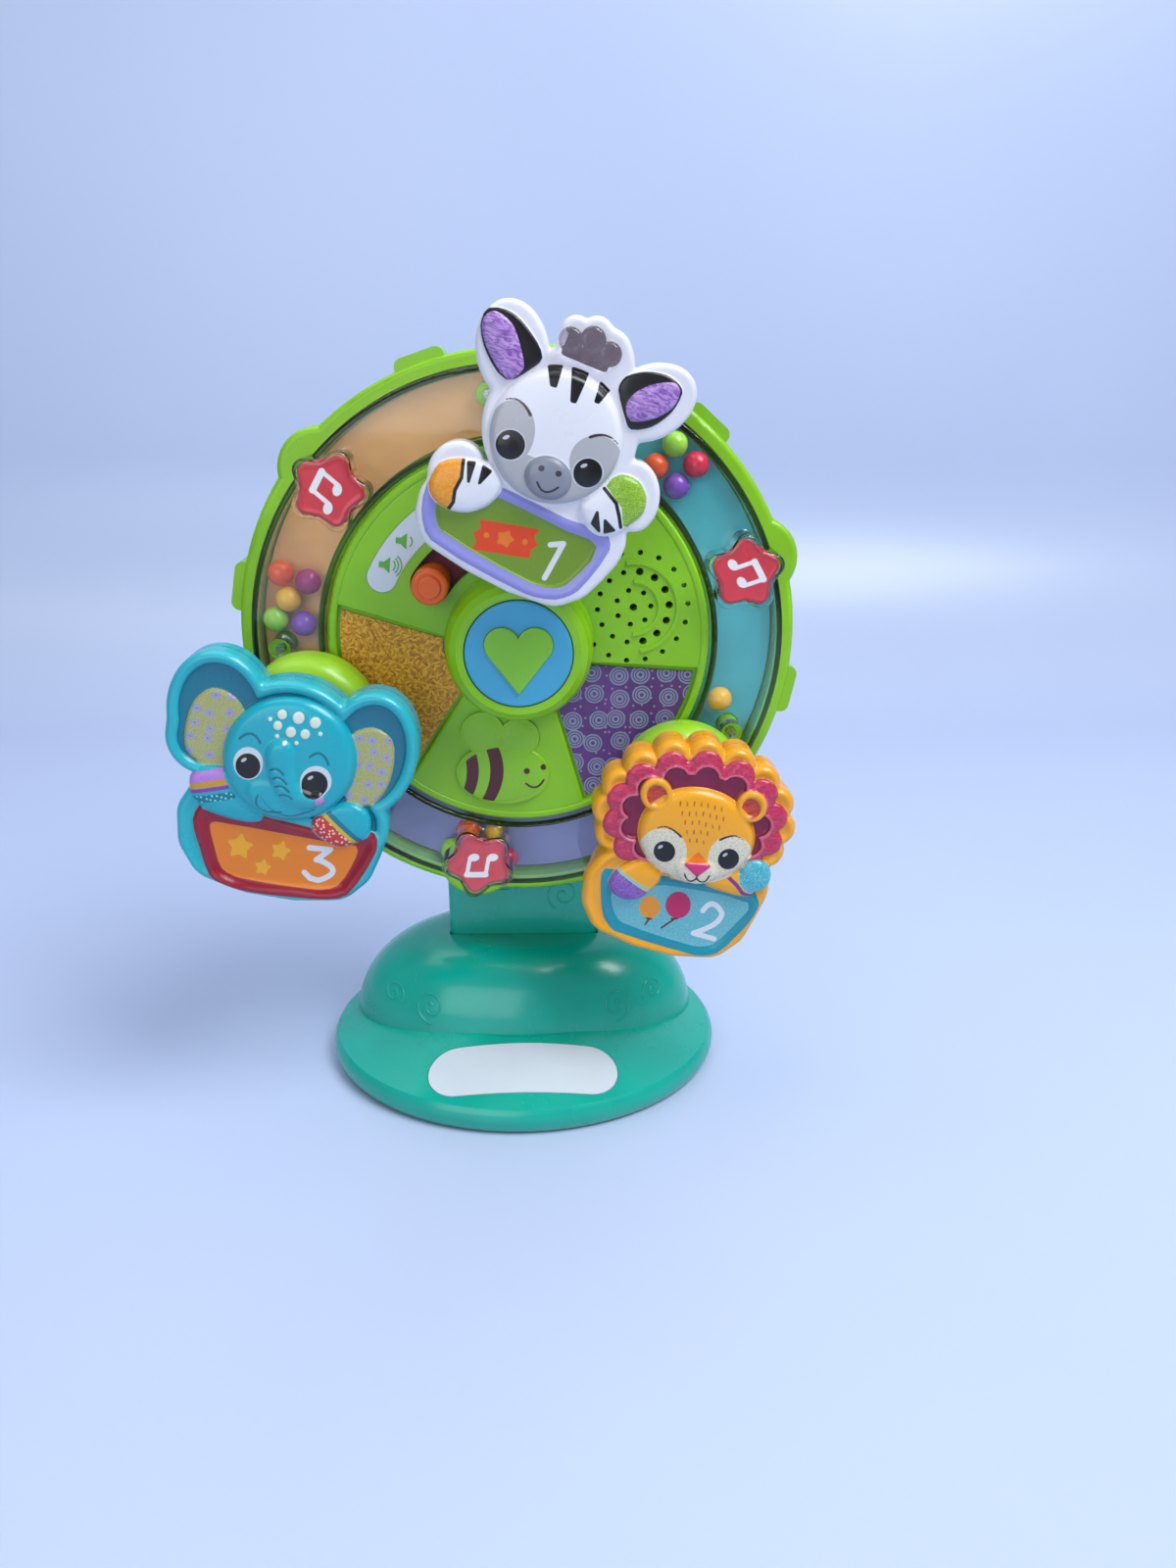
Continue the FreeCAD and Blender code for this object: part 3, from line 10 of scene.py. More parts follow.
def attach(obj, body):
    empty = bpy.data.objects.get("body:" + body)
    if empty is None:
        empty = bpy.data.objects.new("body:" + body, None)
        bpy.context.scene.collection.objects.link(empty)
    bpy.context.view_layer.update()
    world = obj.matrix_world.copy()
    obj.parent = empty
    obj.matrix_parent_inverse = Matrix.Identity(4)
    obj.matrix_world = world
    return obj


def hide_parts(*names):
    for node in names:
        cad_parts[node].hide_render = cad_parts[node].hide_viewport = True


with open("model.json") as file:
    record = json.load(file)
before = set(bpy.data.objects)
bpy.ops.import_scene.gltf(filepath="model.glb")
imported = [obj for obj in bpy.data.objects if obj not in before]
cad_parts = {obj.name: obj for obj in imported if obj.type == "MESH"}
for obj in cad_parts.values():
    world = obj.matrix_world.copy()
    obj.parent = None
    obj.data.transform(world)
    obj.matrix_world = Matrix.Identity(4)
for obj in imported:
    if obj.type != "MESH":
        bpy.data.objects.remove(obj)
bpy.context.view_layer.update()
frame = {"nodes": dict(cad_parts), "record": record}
NODES = frame["nodes"]

# Sizes shared with the construction, in millimetres
MM = 0.001
WHEEL_Z = 152.0
RIM_Y = -9.0
RING_R = 70.4
SPLIT_H = 31.5
FACE_H = 37.0
STAR_ANGLES = (19.0, 139.0, 259.0)
PIVOT_ANGLES = {"zebra": 79.0, "elephant": 199.0, "lion": 319.0}
TILTS = {"zebra": 20.0, "elephant": 11.0, "lion": 7.5}
# Each gondola's drawing: its width and height shares, shifts right and up, lean and tip
DRAWINGS = {
    "zebra": (0.985, 0.975, -1.25, -1.5, 0.01, 0.014),
    "elephant": (1.005, 1.12, 0.6, -2.0, 0.07, -0.023),
    "lion": (0.985, 1.06, -0.3, 0.7, -0.05, -0.016),
}
BADGE_FACE_H = 20.0
LAYER_SOFTNESS = 0.07


def rgb(red, green, blue):
    """Screen colour from 0 to 255 as the linear colour that shaders take."""
    linear = []
    for value in (red, green, blue):
        share = value / 255.0
        linear.append(share / 12.92 if share <= 0.04045 else ((share + 0.055) / 1.055) ** 2.4)
    return (*linear, 1.0)


WHITE = rgb(226, 226, 234)
BLACK = rgb(12, 12, 16)
LIME = rgb(136, 198, 16)
BOSS_LIME = rgb(158, 212, 44)
TURQUOISE = rgb(0, 172, 152)


# Node helpers

class Shader:
    """Builds one material's node tree."""

    def __init__(self, name):
        self.material = bpy.data.materials.new(name)
        self.material.use_nodes = True
        self.tree = self.material.node_tree
        self.tree.nodes.clear()
        self.output = self.tree.nodes.new("ShaderNodeOutputMaterial")

    def node(self, kind, inputs=None, **settings):
        made = self.tree.nodes.new(kind)
        for key, value in settings.items():
            setattr(made, key, value)
        for key, value in (inputs or {}).items():
            self.feed(made.inputs[key], value)
        return made

    def feed(self, socket, value):
        if isinstance(value, bpy.types.NodeSocket):
            self.tree.links.new(value, socket)
        else:
            socket.default_value = value

    def math(self, operation, first, second=0.0, clamp=False):
        return self.node("ShaderNodeMath", {0: first, 1: second}, operation=operation, use_clamp=clamp).outputs[0]

    def mix(self, factor, low, high):
        made = self.node("ShaderNodeMix", data_type="RGBA")
        self.feed(made.inputs[0], factor)
        self.feed(made.inputs[6], low)
        self.feed(made.inputs[7], high)
        return made.outputs[2]

    def remap(self, value, low, high, to_low, to_high):
        inputs = {0: value, 1: low, 2: high, 3: to_low, 4: to_high}
        return self.node("ShaderNodeMapRange", inputs, clamp=True).outputs[0]

    def place(self):
        return self.node("ShaderNodeTexCoord").outputs["Object"]

    def noise(self, scale, detail=2.0, where=None):
        inputs = {"Vector": where or self.place(), "Scale": scale, "Detail": detail}
        return self.node("ShaderNodeTexNoise", inputs).outputs[0]

    def flat_place(self):
        """The front-view position in millimetres, as a flat vector."""
        parts = self.node("ShaderNodeSeparateXYZ", {0: self.place()})
        across = self.math("MULTIPLY", parts.outputs[0], 1000.0)
        upward = self.math("MULTIPLY", parts.outputs[2], 1000.0)
        return self.node("ShaderNodeCombineXYZ", {0: across, 1: upward}).outputs[0]

    def bump(self, height, distance, strength=0.4):
        inputs = {"Height": height, "Distance": distance, "Strength": strength}
        return self.node("ShaderNodeBump", inputs).outputs[0]

    def principled(self, **inputs):
        readable = {key.replace("_", " "): value for key, value in inputs.items()}
        return self.node("ShaderNodeBsdfPrincipled", readable)

    def finish(self, shader):
        self.tree.links.new(shader.outputs[0], self.output.inputs[0])
        return self.material


def clouded(shader, colour, amount):
    """A colour with slow, faint changes of depth, as in a moulded part."""
    deep = tuple(channel * (1.0 - amount) for channel in colour[:3]) + (1.0,)
    cloud = shader.remap(shader.noise(70.0, 3.0), 0.35, 0.65, 0.0, 1.0)
    return shader.mix(cloud, deep, colour)


def moulded(name, colour, roughness=0.3, amount=0.07, coat=0.0, texture=0.00002, grain=1600.0, soft=0.0):
    """Moulded plastic with uneven gloss and a faint skin texture."""
    shader = Shader(name)
    gloss = shader.remap(shader.noise(45.0, 4.0), 0.3, 0.7, roughness * 0.8, roughness * 1.25)
    normal = shader.bump(shader.noise(grain, 2.0), texture)
    body = shader.principled(Base_Color=clouded(shader, colour, amount), Roughness=gloss, Normal=normal)
    body.inputs["Coat Weight"].default_value = coat
    body.inputs["Coat Roughness"].default_value = 0.12
    body.inputs["Subsurface Weight"].default_value = soft
    body.inputs["Subsurface Radius"].default_value = (0.004, 0.003, 0.002)
    return shader.finish(body)


def clear(name, colour, roughness=0.04, shade=0.9):
    """Clear moulded plastic that lets the lamps reach what is behind it."""
    shader = Shader(name)
    gloss = shader.remap(shader.noise(60.0, 3.0), 0.3, 0.7, roughness * 0.5, roughness * 2.0)
    body = shader.principled(Base_Color=clouded(shader, colour, 0.03), Roughness=gloss)
    body.inputs["Transmission Weight"].default_value = 1.0
    body.inputs["IOR"].default_value = 1.46
    open_way = shader.node("ShaderNodeBsdfTransparent", {0: tuple(c * shade for c in colour[:3]) + (1.0,)})
    lamp = shader.node("ShaderNodeLightPath").outputs["Is Shadow Ray"]
    both = shader.node("ShaderNodeMixShader", {0: lamp, 1: body.outputs[0], 2: open_way.outputs[0]})
    return shader.finish(both)


def metal(name, colour, roughness=0.28):
    """Plated metal with fine brushed marks."""
    shader = Shader(name)
    stretched = shader.node("ShaderNodeMapping", {"Vector": shader.place(), "Scale": (400.0, 400.0, 4000.0)})
    marks = shader.noise(1.0, 3.0, stretched.outputs[0])
    gloss = shader.remap(marks, 0.3, 0.7, roughness * 0.7, roughness * 1.4)
    body = shader.principled(Base_Color=clouded(shader, colour, 0.1), Roughness=gloss,
                             Normal=shader.bump(marks, 0.00001))
    body.inputs["Metallic"].default_value = 1.0
    return shader.finish(body)


def grain_print(shader):
    """Small grains that lie every way: pale ones and dark ones on an amber ground."""
    flat = shader.flat_place()
    ground = clouded(shader, rgb(206, 138, 20), 0.2)
    heights = []
    for shift, size, colour in ((0.0, 0.52, rgb(238, 178, 52)), (37.0, 0.5, rgb(176, 110, 12)),
                                (71.0, 0.55, rgb(238, 180, 54)), (113.0, 0.48, rgb(214, 150, 30))):
        moved = shader.node("ShaderNodeVectorMath", {0: flat, 1: (shift, shift * 0.7, 0.0)}, operation="ADD").outputs[0]
        cell = shader.node("ShaderNodeTexVoronoi", {"Vector": moved, "Scale": size}, voronoi_dimensions="2D")
        colour_parts = shader.node("ShaderNodeSeparateColor", {0: cell.outputs["Color"]})
        turn = shader.math("MULTIPLY", colour_parts.outputs[0], 2 * math.pi)
        away = shader.node("ShaderNodeVectorMath", {0: moved, 1: cell.outputs["Position"]}, operation="SUBTRACT")
        turned = shader.node("ShaderNodeVectorRotate", {"Vector": away.outputs[0], "Angle": turn},
                             rotation_type="Z_AXIS")
        stretched = shader.node("ShaderNodeVectorMath", {0: turned.outputs[0], 1: (0.75, 2.6, 0.0)},
                                operation="MULTIPLY")
        reach = shader.node("ShaderNodeVectorMath", {0: stretched.outputs[0]}, operation="LENGTH").outputs["Value"]
        mask = shader.remap(reach, 0.8, 1.0, 1.0, 0.0)
        ground = shader.mix(mask, ground, colour)
        heights.append(mask)
    return ground, shader.math("MAXIMUM", heights[0], heights[2])


def ring_print(shader):
    """Rings within rings with small dots between them on a plum ground."""
    flat = shader.flat_place()
    ground = clouded(shader, rgb(98, 60, 128), 0.25)
    inputs = {"Vector": flat, "Scale": 1.0 / 7.4, "Randomness": 0.35}
    cell = shader.node("ShaderNodeTexVoronoi", inputs, voronoi_dimensions="2D")
    reach = shader.math("MULTIPLY", cell.outputs["Distance"], 7.4)
    rings = 0.0
    for radius, half in ((2.75, 0.2), (1.9, 0.18), (0.95, 0.3)):
        gap = shader.math("ABSOLUTE", shader.math("SUBTRACT", reach, radius))
        mask = shader.remap(gap, half, half + 0.12, 1.0, 0.0)
        rings = shader.math("MAXIMUM", rings, mask)
    dots_inputs = {"Vector": flat, "Scale": 1.0 / 3.1, "Randomness": 0.7}
    dots = shader.node("ShaderNodeTexVoronoi", dots_inputs, voronoi_dimensions="2D")
    dot = shader.remap(shader.math("MULTIPLY", dots.outputs["Distance"], 3.1), 0.3, 0.42, 1.0, 0.0)
    dot = shader.math("MULTIPLY", dot, shader.remap(reach, 2.9, 3.1, 0.0, 1.0))
    coloured = shader.mix(rings, ground, rgb(128, 140, 172))
    return shader.mix(dot, coloured, rgb(158, 132, 170)), rings


def printed(name, pattern, roughness=0.42):
    """A printed and lightly embossed field."""
    shader = Shader(name)
    colour, height = pattern(shader)
    gloss = shader.remap(shader.noise(50.0, 3.0), 0.3, 0.7, roughness * 0.8, roughness * 1.2)
    body = shader.principled(Base_Color=colour, Roughness=gloss, Normal=shader.bump(height, 0.00012, 0.5))
    return shader.finish(body)


# Materials of the carried-over parts

def make_materials():
    """One material for each finish in the record."""
    return {
        "base_turquoise": moulded("turquoise plastic", TURQUOISE, 0.24, 0.08, 0.25, 0.00001),
        "wheel_lime": moulded("lime plastic", LIME, 0.32, 0.1, 0.1),
        "boss_lime": moulded("bright lime plastic", BOSS_LIME, 0.3, 0.08, 0.1),
        "clear_plastic": clear("clear plastic", (0.93, 0.97, 0.96, 1.0)),
        "clear_rubber": clear("clear rubber", (0.75, 0.82, 0.8, 1.0), 0.2, 0.7),
        "label_white": moulded("pale label", rgb(208, 216, 226), 0.45, 0.03, 0.0, 0.000008, 2600.0),
        "panel_yellow": printed("grain print", grain_print),
        "panel_purple": printed("ring print", ring_print),
        "insert_orange": moulded("orange card", rgb(222, 158, 96), 0.5, 0.12),
        "insert_blue": moulded("blue card", rgb(70, 172, 188), 0.5, 0.12),
        "insert_lavender": moulded("lavender card", rgb(146, 148, 214), 0.5, 0.12),
        "badge_red": moulded("red badge", rgb(206, 30, 48), 0.3, 0.1),
        "bead_colours": moulded("bead", rgb(220, 80, 40), 0.25, 0.05),
        "knob_orange": moulded("orange knob", rgb(240, 98, 22), 0.3, 0.08, 0.1),
        # The slide plate's red plastic, darkened to paint the shade of the recessed slot it sits in.
        "slider_red": moulded("red slide in painted shade", rgb(112, 14, 18), 0.4, 0.15),
        "button_blue": moulded("blue button", rgb(66, 164, 204), 0.34, 0.06),
        "heart_lime": moulded("lime heart", rgb(126, 194, 38), 0.22, 0.06, 0.3, soft=0.3),
        "zebra_white": moulded("white shell", WHITE, 0.3, 0.04, 0.15),
        "elephant_teal": moulded("teal shell", rgb(36, 166, 186), 0.28, 0.07, 0.15),
        "lion_orange": moulded("golden shell", rgb(238, 160, 26), 0.28, 0.07, 0.15),
        "smoky_clear": clear("smoky clear plastic", (0.72, 0.68, 0.73, 1.0), 0.05, 0.85),
        "screw_steel": metal("plated steel", rgb(190, 192, 196)),
        "contact_metal": metal("nickel plate", rgb(205, 200, 180), 0.22),
        "cell_grey": moulded("cell sleeve", rgb(96, 102, 110), 0.35, 0.2),
        "board_green": moulded("circuit board", rgb(20, 96, 60), 0.4, 0.3),
        "part_black": moulded("black part", rgb(26, 26, 30), 0.5, 0.2, 0.0, 0.00005),
        "led_clear": clear("clear lamp body", (0.9, 0.95, 1.0, 1.0), 0.08),
        "slip_white": moulded("slip washer", rgb(222, 222, 218), 0.5, 0.04),
    }


MATERIALS = make_materials()


def dress_nodes():
    """Every carried-over part takes the material of its finish."""
    slots = {entry["node"]: entry["material_slot"] for entry in frame["record"]["subparts"]}
    for name, node in NODES.items():
        material = MATERIALS[slots[name]]
        for slot in node.material_slots:
            slot.material = material
        for polygon in node.data.polygons:
            polygon.use_smooth = True


# Flat shapes: signed distances in millimetres, negative inside

def oval(x, z, cx, cz, a, b, angle=0.0):
    turn = math.radians(angle)
    dx = x - cx
    dz = z - cz
    along = dx * math.cos(turn) + dz * math.sin(turn)
    across = dz * math.cos(turn) - dx * math.sin(turn)
    near = np.hypot(along / a, across / b)
    steep = np.hypot(along / (a * a), across / (b * b))
    return near * (near - 1.0) / np.maximum(steep, 1e-6)


def dot(x, z, cx, cz, radius):
    return np.hypot(x - cx, z - cz) - radius


def drawing(name, x, z):
    """A place on a gondola as a place on its drawing."""
    wide, tall, right, up, lean, tip = DRAWINGS[name]
    whole = wide * tall - lean * tip
    return (tall * (x - right) - lean * (z - up)) / whole, (wide * (z - up) - tip * (x - right)) / whole


def flowing(corners, steps=3):
    """A closed line that flows smoothly through its points."""
    count = len(corners)
    points = []
    for i in range(count):
        before, start, end, after = (corners[(i + k) % count] for k in (-1, 0, 1, 2))
        span = math.dist(start, end)
        leave = [(end[k] - before[k]) / max(math.dist(before, end), 1e-6) * span for k in (0, 1)]
        arrive = [(after[k] - start[k]) / max(math.dist(start, after), 1e-6) * span for k in (0, 1)]
        for step in range(steps):
            s = step / steps
            rise = s * s * (3 - 2 * s)
            out = s * (1 - s) ** 2
            back = s * s * (s - 1)
            points.append(tuple(
                start[k] + (end[k] - start[k]) * rise + 0.8 * (leave[k] * out + arrive[k] * back) for k in (0, 1)))
    return points


def smooth(x, z, corners, rounding=0.0):
    """A closed outline that flows through its points, grown by a rounding."""
    return outline(x, z, flowing(corners), rounding)


def outline(x, z, corners, rounding=0.0):
    """A closed outline of straight sides, grown by a rounding."""
    near = None
    winding = np.ones(np.broadcast(x, z).shape)
    count = len(corners)
    for i in range(count):
        ax, az = corners[i]
        bx, bz = corners[i - 1]
        ex, ez = bx - ax, bz - az
        wx, wz = x - ax, z - az
        share = np.clip((wx * ex + wz * ez) / (ex * ex + ez * ez), 0.0, 1.0)
        gap = (wx - ex * share) ** 2 + (wz - ez * share) ** 2
        near = gap if near is None else np.minimum(near, gap)
        above = z >= az
        below = z < bz
        left = ex * wz > ez * wx
        flip = (above & below & left) | (~above & ~below & ~left)
        winding = np.where(flip, -winding, winding)
    return winding * np.sqrt(near) - rounding


def stroke(x, z, points, radius, end_radius=None):
    """A line through points with round ends that may taper."""
    end_radius = radius if end_radius is None else end_radius
    best = None
    steps = len(points) - 1
    for i in range(steps):
        (ax, az), (bx, bz) = points[i], points[i + 1]
        ex, ez = bx - ax, bz - az
        share = np.clip(((x - ax) * ex + (z - az) * ez) / (ex * ex + ez * ez), 0.0, 1.0)
        width = radius + (end_radius - radius) * (i + share) / steps
        gap = np.hypot(x - ax - ex * share, z - az - ez * share) - width
        best = gap if best is None else np.minimum(best, gap)
    return best


def bowed(start, middle, end, count=8):
    """Points on a smooth bow through three points."""
    points = []
    for i in range(count + 1):
        t = i / count
        a, b, c = (1 - t) * (1 - 2 * t), 4 * t * (1 - t), t * (2 * t - 1)
        points.append((a * start[0] + b * middle[0] + c * end[0], a * start[1] + b * middle[1] + c * end[1]))
    return points


def star(x, z, cx, cz, tip, turn=90.0, valley=0.6, rounding=0.3):
    corners = []
    inner = tip - rounding
    for i in range(10):
        radius = inner if i % 2 == 0 else inner * valley
        angle = math.radians(turn + 36 * i)
        corners.append((cx + radius * math.cos(angle), cz + radius * math.sin(angle)))
    return outline(x, z, corners, rounding)


def union(*shapes):
    result = shapes[0]
    for shape in shapes[1:]:
        result = np.minimum(result, shape)
    return result


def blend(first, second, reach):
    """A union with a smooth fillet."""
    share = np.clip(0.5 + 0.5 * (second - first) / reach, 0.0, 1.0)
    return second * (1 - share) + first * share - reach * share * (1 - share)


def raised(flat, h, top, edge):
    """A raised form: a flat outline, a top height and a rounded edge."""
    side = flat + edge
    lid = h - top + edge
    outside = np.hypot(np.maximum(side, 0.0), np.maximum(lid, 0.0))
    return np.minimum(np.maximum(side, lid), 0.0) + outside - edge


def swell(flat, depth):
    """From 0 at an outline to 1 at a depth inside it, like a pillow."""
    share = np.clip(-flat / depth, 0.0, 1.0)
    return np.sqrt(share * (2.0 - share))


def ridge(flat, middle, half):
    """A bead that follows an outline at an offset."""
    return np.exp(-((flat - middle) / half) ** 2)


# Surface nets

CUBE_EDGES = [((0, 0, 0), (1, 0, 0)), ((0, 1, 0), (1, 1, 0)), ((0, 0, 1), (1, 0, 1)), ((0, 1, 1), (1, 1, 1)),
              ((0, 0, 0), (0, 1, 0)), ((1, 0, 0), (1, 1, 0)), ((0, 0, 1), (0, 1, 1)), ((1, 0, 1), (1, 1, 1)),
              ((0, 0, 0), (0, 0, 1)), ((1, 0, 0), (1, 0, 1)), ((0, 1, 0), (0, 1, 1)), ((1, 1, 0), (1, 1, 1))]


def corner_block(values, offset):
    parts = []
    for axis in range(3):
        size = values.shape[axis]
        parts.append(slice(offset[axis], size - 1 + offset[axis]))
    return values[tuple(parts)]


def surface_net(field, low, high, step):
    """Points and four-sided faces of the surface where a field of (x, z, h) is nought."""
    axes = [np.arange(low[i] - step, high[i] + 2 * step, step) for i in range(3)]
    values = field(axes[0][:, None, None], axes[1][None, :, None], axes[2][None, None, :])
    values = np.broadcast_to(values, [len(axis) for axis in axes]).copy()
    total = np.zeros([size - 1 for size in values.shape] + [3])
    count = np.zeros([size - 1 for size in values.shape])
    for first, second in CUBE_EDGES:
        a = corner_block(values, first)
        b = corner_block(values, second)
        crossing = (a < 0) != (b < 0)
        share = np.where(crossing, a / np.where(crossing, a - b, 1.0), 0.0)
        count += crossing
        for axis in range(3):
            point = first[axis] + (second[axis] - first[axis]) * share
            total[..., axis] += np.where(crossing, point, 0.0)
    mixed = count > 0
    number = np.full(mixed.shape, -1, int)
    number[mixed] = np.arange(mixed.sum())
    cells = np.argwhere(mixed)
    points = cells + total[mixed] / count[mixed][:, None]
    points = points * step + np.array([axis[0] for axis in axes])
    faces = []
    for axis in range(3):
        one, two = [other for other in range(3) if other != axis]
        near = [slice(1, -1)] * 3
        far = [slice(1, -1)] * 3
        near[axis] = slice(0, -1)
        far[axis] = slice(1, None)
        inside_near = values[tuple(near)] < 0
        inside_far = values[tuple(far)] < 0
        change = np.argwhere(inside_near != inside_far)
        outward = (inside_near & ~inside_far)[tuple(change.T)]
        base = change.copy()
        base[:, one] += 1
        base[:, two] += 1
        ring = []
        for step_one, step_two in ((-1, -1), (0, -1), (0, 0), (-1, 0)):
            spot = base.copy()
            spot[:, one] += step_one
            spot[:, two] += step_two
            ring.append(number[tuple(spot.T)])
        quads = np.stack(ring, 1)
        flip = outward if axis == 1 else ~outward
        quads[flip] = quads[flip][:, ::-1]
        faces.append(quads)
    return settle(field, points, step), np.concatenate(faces)


def settle(field, points, step):
    """Moves the points of a net onto the exact surface."""
    reach = 0.02
    for _ in range(3):
        x, z, h = points.T
        value = field(x, z, h)
        slope = np.stack([
            (field(x + reach, z, h) - field(x - reach, z, h)) / (2 * reach),
            (field(x, z + reach, h) - field(x, z - reach, h)) / (2 * reach),
            (field(x, z, h + reach) - field(x, z, h - reach)) / (2 * reach),
        ], 1)
        size = np.maximum((slope ** 2).sum(1), 0.25)
        move = -(value / size)[:, None] * slope
        points = points + np.clip(move, -0.5 * step, 0.5 * step)
    return points


def wheel_point(angle, radius=RING_R):
    turn = math.radians(angle)
    return radius * math.cos(turn), WHEEL_Z + radius * math.sin(turn)


def to_row(points, centre, tilt):
    """From a piece's own upright front view (x, z, height to the front) to the row frame in metres.
    The tilt is clockwise as seen from the front."""
    turn = math.radians(tilt)
    x, z, h = points.T
    across = centre[0] + x * math.cos(turn) + z * math.sin(turn)
    upward = centre[1] - x * math.sin(turn) + z * math.cos(turn)
    return np.stack([across, RIM_Y - h, upward], 1) * MM


def new_mesh(name, points, faces, material):
    mesh = bpy.data.meshes.new(name)
    mesh.from_pydata([tuple(point) for point in points], [], [tuple(int(i) for i in face) for face in faces])
    mesh.update()
    for polygon in mesh.polygons:
        polygon.use_smooth = True
    piece = bpy.data.objects.new(name, mesh)
    bpy.context.scene.collection.objects.link(piece)
    mesh.materials.append(material)
    return piece


def add_layers(mesh, layers):
    """Stores the distance to each paint edge, three to a vector attribute."""
    groups = (len(layers) + 2) // 3
    for g in range(groups):
        attribute = mesh.attributes.new(f"paint_{g}", "FLOAT_VECTOR", "POINT")
        block = np.full((len(mesh.vertices), 3), 9.0, np.float32)
        for axis, layer in enumerate(layers[g * 3:g * 3 + 3]):
            block[:, axis] = np.clip(layer[0], -9.0, 9.0)
        attribute.data.foreach_set("vector", block.ravel())


def own_place(mesh, points):
    """Stores the position in the piece's own front view, in millimetres, for its printed patterns."""
    attribute = mesh.attributes.new("own_place", "FLOAT_VECTOR", "POINT")
    attribute.data.foreach_set("vector", points.astype(np.float32).ravel())


def painted(name, ground, layers, roughness=0.28, coat=0.12):
    """Plastic with painted areas: each layer is (distance, colour or pattern)."""
    shader = Shader(name)
    place = shader.node("ShaderNodeAttribute", attribute_name="own_place").outputs["Vector"]
    colour = clouded(shader, ground, 0.06)
    split = None
    for i, (_, paint) in enumerate(layers):
        if i % 3 == 0:
            source = shader.node("ShaderNodeAttribute", attribute_name=f"paint_{i // 3}")
            split = shader.node("ShaderNodeSeparateXYZ", {0: source.outputs["Vector"]})
        mask = shader.remap(split.outputs[i % 3], -LAYER_SOFTNESS, LAYER_SOFTNESS, 1.0, 0.0)
        top = paint(shader, place) if callable(paint) else paint
        colour = shader.mix(mask, colour, top)
    gloss = shader.remap(shader.noise(60.0, 4.0), 0.3, 0.7, roughness * 0.8, roughness * 1.25)
    body = shader.principled(Base_Color=colour, Roughness=gloss, Normal=shader.bump(shader.noise(1500.0), 0.00002))
    body.inputs["Coat Weight"].default_value = coat
    body.inputs["Coat Roughness"].default_value = 0.1
    return shader.finish(body)


# Printed patterns inside painted areas

def marbled(first, second, scale=0.22, twist=3.0):
    """Streaked ink in two colours."""
    def make(shader, place):
        stretched = shader.node("ShaderNodeMapping", {"Vector": place, "Scale": (1.0, 3.0, 1.0)}).outputs[0]
        inputs = {"Vector": stretched, "Scale": scale, "Detail": 3.0, "Distortion": twist}
        streak = shader.node("ShaderNodeTexNoise", inputs).outputs[0]
        return shader.mix(shader.remap(streak, 0.38, 0.62, 0.0, 1.0), first, second)
    return make


def speckled(ground, spot, cell, size, randomness=1.0):
    """Small dots on a ground."""
    def make(shader, place):
        inputs = {"Vector": place, "Scale": 1.0 / cell, "Randomness": randomness}
        near = shader.node("ShaderNodeTexVoronoi", inputs, voronoi_dimensions="2D").outputs["Distance"]
        share = size / cell
        return shader.mix(shader.remap(near, share * 0.85, share * 1.1, 1.0, 0.0), ground, spot)
    return make


def dotted_rings(ground, ringed, middle, cell):
    """Dots with a pale ring on a finely speckled ground."""
    def make(shader, place):
        fine = speckled(ground, tuple(c * 0.75 for c in ground[:3]) + (1.0,), 0.55, 0.16)(shader, place)
        inputs = {"Vector": place, "Scale": 1.0 / cell, "Randomness": 0.45}
        near = shader.node("ShaderNodeTexVoronoi", inputs, voronoi_dimensions="2D").outputs["Distance"]
        reach = shader.math("MULTIPLY", near, cell)
        outer = shader.mix(shader.remap(reach, 1.15, 1.3, 1.0, 0.0), fine, ringed)
        inner = shader.mix(shader.remap(reach, 0.7, 0.8, 1.0, 0.0), outer, fine)
        return shader.mix(shader.remap(reach, 0.35, 0.45, 1.0, 0.0), inner, middle)
    return make


def hatched(ground, line, scale=0.9):
    """Fine crossing pen strokes."""
    def make(shader, place):
        inputs = {"Vector": place, "Scale": scale, "Detail": 4.0, "Distortion": 6.0}
        streak = shader.node("ShaderNodeTexNoise", inputs).outputs[0]
        return shader.mix(shader.remap(streak, 0.5, 0.56, 0.0, 1.0), ground, line)
    return make


def relief_piece(name, field, layers_of, ground, low, high, step, centre, tilt, body, replaced, coat=0.12):
    """A painted relief built from a field, riding on a body in place of a part."""
    points, faces = surface_net(field, low, high, step)
    x, z, h = points.T
    layers = layers_of(x, z, h)
    material = painted(name + " paint", ground, layers, coat=coat)
    piece = new_mesh(name, to_row(points, centre, tilt), faces, material)
    add_layers(piece.data, layers)
    own_place(piece.data, points)
    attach(piece, body)
    if replaced:
        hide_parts(*replaced)
    return piece


# Gondolas: outlines as in the construction

ZEBRA_OVALS = ((-18.0, 9.0, 12.8, 9.6, 117.0), (20.5, 9.5, 12.8, 9.4, 45.0), (0.5, -5.4, 21.0, 20.5, 0.0),
               (2.7, 15.0, 10.6, 8.8, 0.0), (-22.4, -24.5, 8.0, 7.0, 60.0), (25.2, -14.5, 9.6, 7.0, 110.0))
ZEBRA_TRAY = ((-29.4, -24.0), (-27.8, -46.2), (16.6, -51.4), (27.6, -34.0), (26.6, -18.0))
ELEPHANT_OVALS = ((-19.8, 4.2, 19.4, 15.2, 100.0), (-23.6, -3.4, 11.2, 11.2, 0.0), (23.3, 0.0, 19.6, 14.1, 85.0),
                  (1.2, -2.0, 21.0, 20.6, 0.0))
ELEPHANT_TRAY = ((-28.6, -14.0), (-25.0, -47.8), (24.0, -48.4), (32.6, -25.0), (29.5, -10.0))
LION_TRAY = ((-29.0, -14.0), (-28.6, -41.8), (15.6, -48.6), (26.0, -26.0), (25.4, -12.0))


